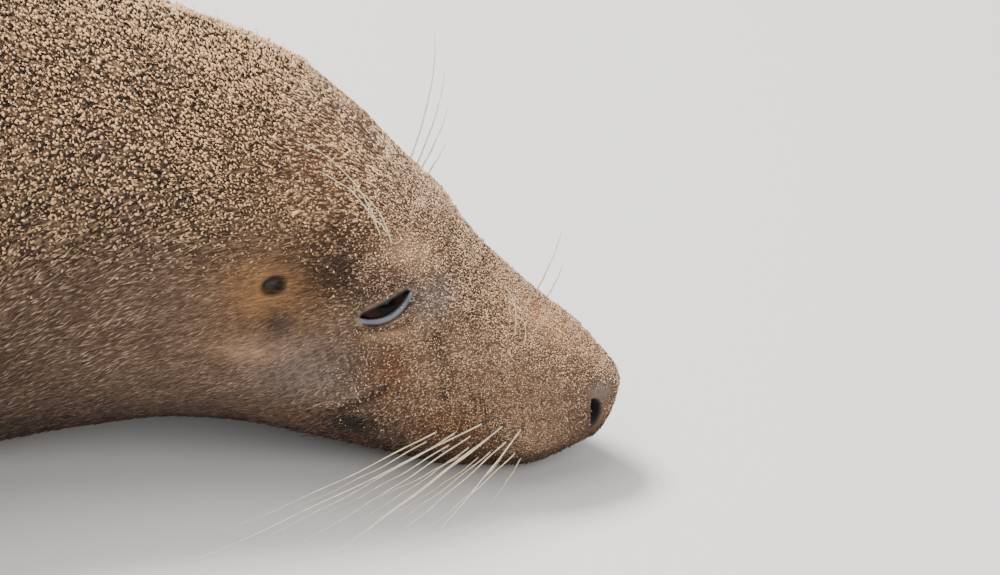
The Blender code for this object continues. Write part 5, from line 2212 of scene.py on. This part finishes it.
def follicle_material():
    """Bare skin round a whisker's root: black, a little moist."""
    made, tree, shader = new_material("bare follicle skin")
    place = add_node(tree, "ShaderNodeTexCoord").outputs["Object"]
    pores = add_node(tree, "ShaderNodeTexNoise", {"Scale": 1500.0, "Vector": place})
    colours = {0: pores, MIX_A: colour4("#0b0908"), MIX_B: colour4("#3a332e")}
    colour = add_node(tree, "ShaderNodeMix", colours, data_type="RGBA").outputs[MIX_OUT]
    set_inputs(tree, shader, {"Base Color": colour, "Roughness": 0.45})
    return made


bm = bmesh.new()
for centre, outward in follicles:
    turn_to = Vector((0, 0, 1)).rotation_difference(Vector(outward)).to_matrix().to_4x4()
    matrix = Matrix.Translation(Vector(centre)) @ turn_to @ Matrix.Diagonal((1, 1, 0.55, 1))
    bmesh.ops.create_icosphere(bm, subdivisions=2, radius=FOLLICLE_RADIUS, matrix=matrix)
follicle_pads = closed_object("follicles", bm)
follicle_pads.data.materials.append(follicle_material())
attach(follicle_pads, "root")
print("follicles:", len(follicles))

# %% [markdown]
# ## Camera
# The head fills the view from her right side, a little from above, as a visitor would look down at
# her. A long lens from four metres keeps the head's proportions true. The view's width on the object
# is chosen first, and the lens follows from it: lens = sensor x distance / width.

# %% Set up the camera
CAMERA_ELEVATION = 28 * DEGREE
CAMERA_DISTANCE = 4.0
VIEW_WIDTH = 0.62
SENSOR_WIDTH = 36
VIEW_OFFSET = np.array([-0.0732, 0, 0])
VIEW_RISE = 0.0636
sight_back = np.array([0, -math.cos(CAMERA_ELEVATION), math.sin(CAMERA_ELEVATION)])
sight_up = np.array([0, math.sin(CAMERA_ELEVATION), math.cos(CAMERA_ELEVATION)])
target = pose(0, 0, 0) + VIEW_OFFSET + sight_up * VIEW_RISE
camera_data = bpy.data.cameras.new("camera")
camera_data.sensor_width = SENSOR_WIDTH
camera_data.lens = SENSOR_WIDTH * CAMERA_DISTANCE / VIEW_WIDTH
camera_data.clip_end = 50
camera = new_object("camera", camera_data)
camera.location = Vector(target + sight_back * CAMERA_DISTANCE)
camera.rotation_euler = (math.pi / 2 - CAMERA_ELEVATION, 0, 0)
bpy.context.scene.camera = camera
print("lens:", round(camera_data.lens, 1), "mm; camera at", np.round(camera.location, 2).tolist())

# %% [markdown]
# ## Floor
# A plain pale floor of matt paint. One large face is enough.

# %% Lay the floor
FLOOR_SIZE = 12
FLOOR_CORNERS = ((-0.5, -0.5, 0), (0.5, -0.5, 0), (0.5, 0.5, 0), (-0.5, 0.5, 0))


def floor_material():
    """Matt floor paint: pale and rolled on, with no gloss."""
    made, tree, shader = new_material("matt floor paint")
    set_inputs(tree, shader, {"Base Color": colour4("#ccc8c4"), "Roughness": 0.8})
    return made


floor_mesh = bpy.data.meshes.new("floor")
floor_mesh.from_pydata(np.multiply(FLOOR_CORNERS, FLOOR_SIZE).tolist(), [], [(0, 1, 2, 3)])
floor_mesh.materials.append(floor_material())
floor = new_object("floor", floor_mesh)
print("floor:", FLOOR_SIZE, "m square")

# %% [markdown]
# ## Light
# Fur shows its depth when light skims it, so the key stands high behind the neck and rakes across
# the crown. A large fill from the front keeps the face open, and a wide soft light overhead fills
# the rest. Every lamp is a disk, which gives soft shadows.

# %% Light the seal
HEAD = (0.85, -0.05, 0.1)
MIDDLE = (0, 0, 0)
# Name, place, aim, size in metres, power in watts.
LAMPS = (
    ("key", (-0.3, 1.2, 3.2), HEAD, 1.4, 290),
    ("fill", (2.2, -2.6, 1.8), HEAD, 2.4, 110),
    ("sky", (0, -0.5, 4), MIDDLE, 4, 110),
)
AIR = (0.8, 0.85, 0.9, 1)
AIR_STRENGTH = 0.6
for name, place, aim, size, power in LAMPS:
    light = bpy.data.lights.new(name, "AREA")
    light.shape = "DISK"
    light.size = size
    light.energy = power
    lamp = new_object(name, light)
    lamp.location = place
    lamp.rotation_euler = (Vector(place) - Vector(aim)).to_track_quat("Z", "Y").to_euler()
world = bpy.data.worlds.new("studio")
world.use_nodes = True
air = {"Color": AIR, "Strength": AIR_STRENGTH}
set_inputs(world.node_tree, world.node_tree.nodes["Background"], air)
bpy.context.scene.world = world
print("lamps:", [name for name, *_ in LAMPS])
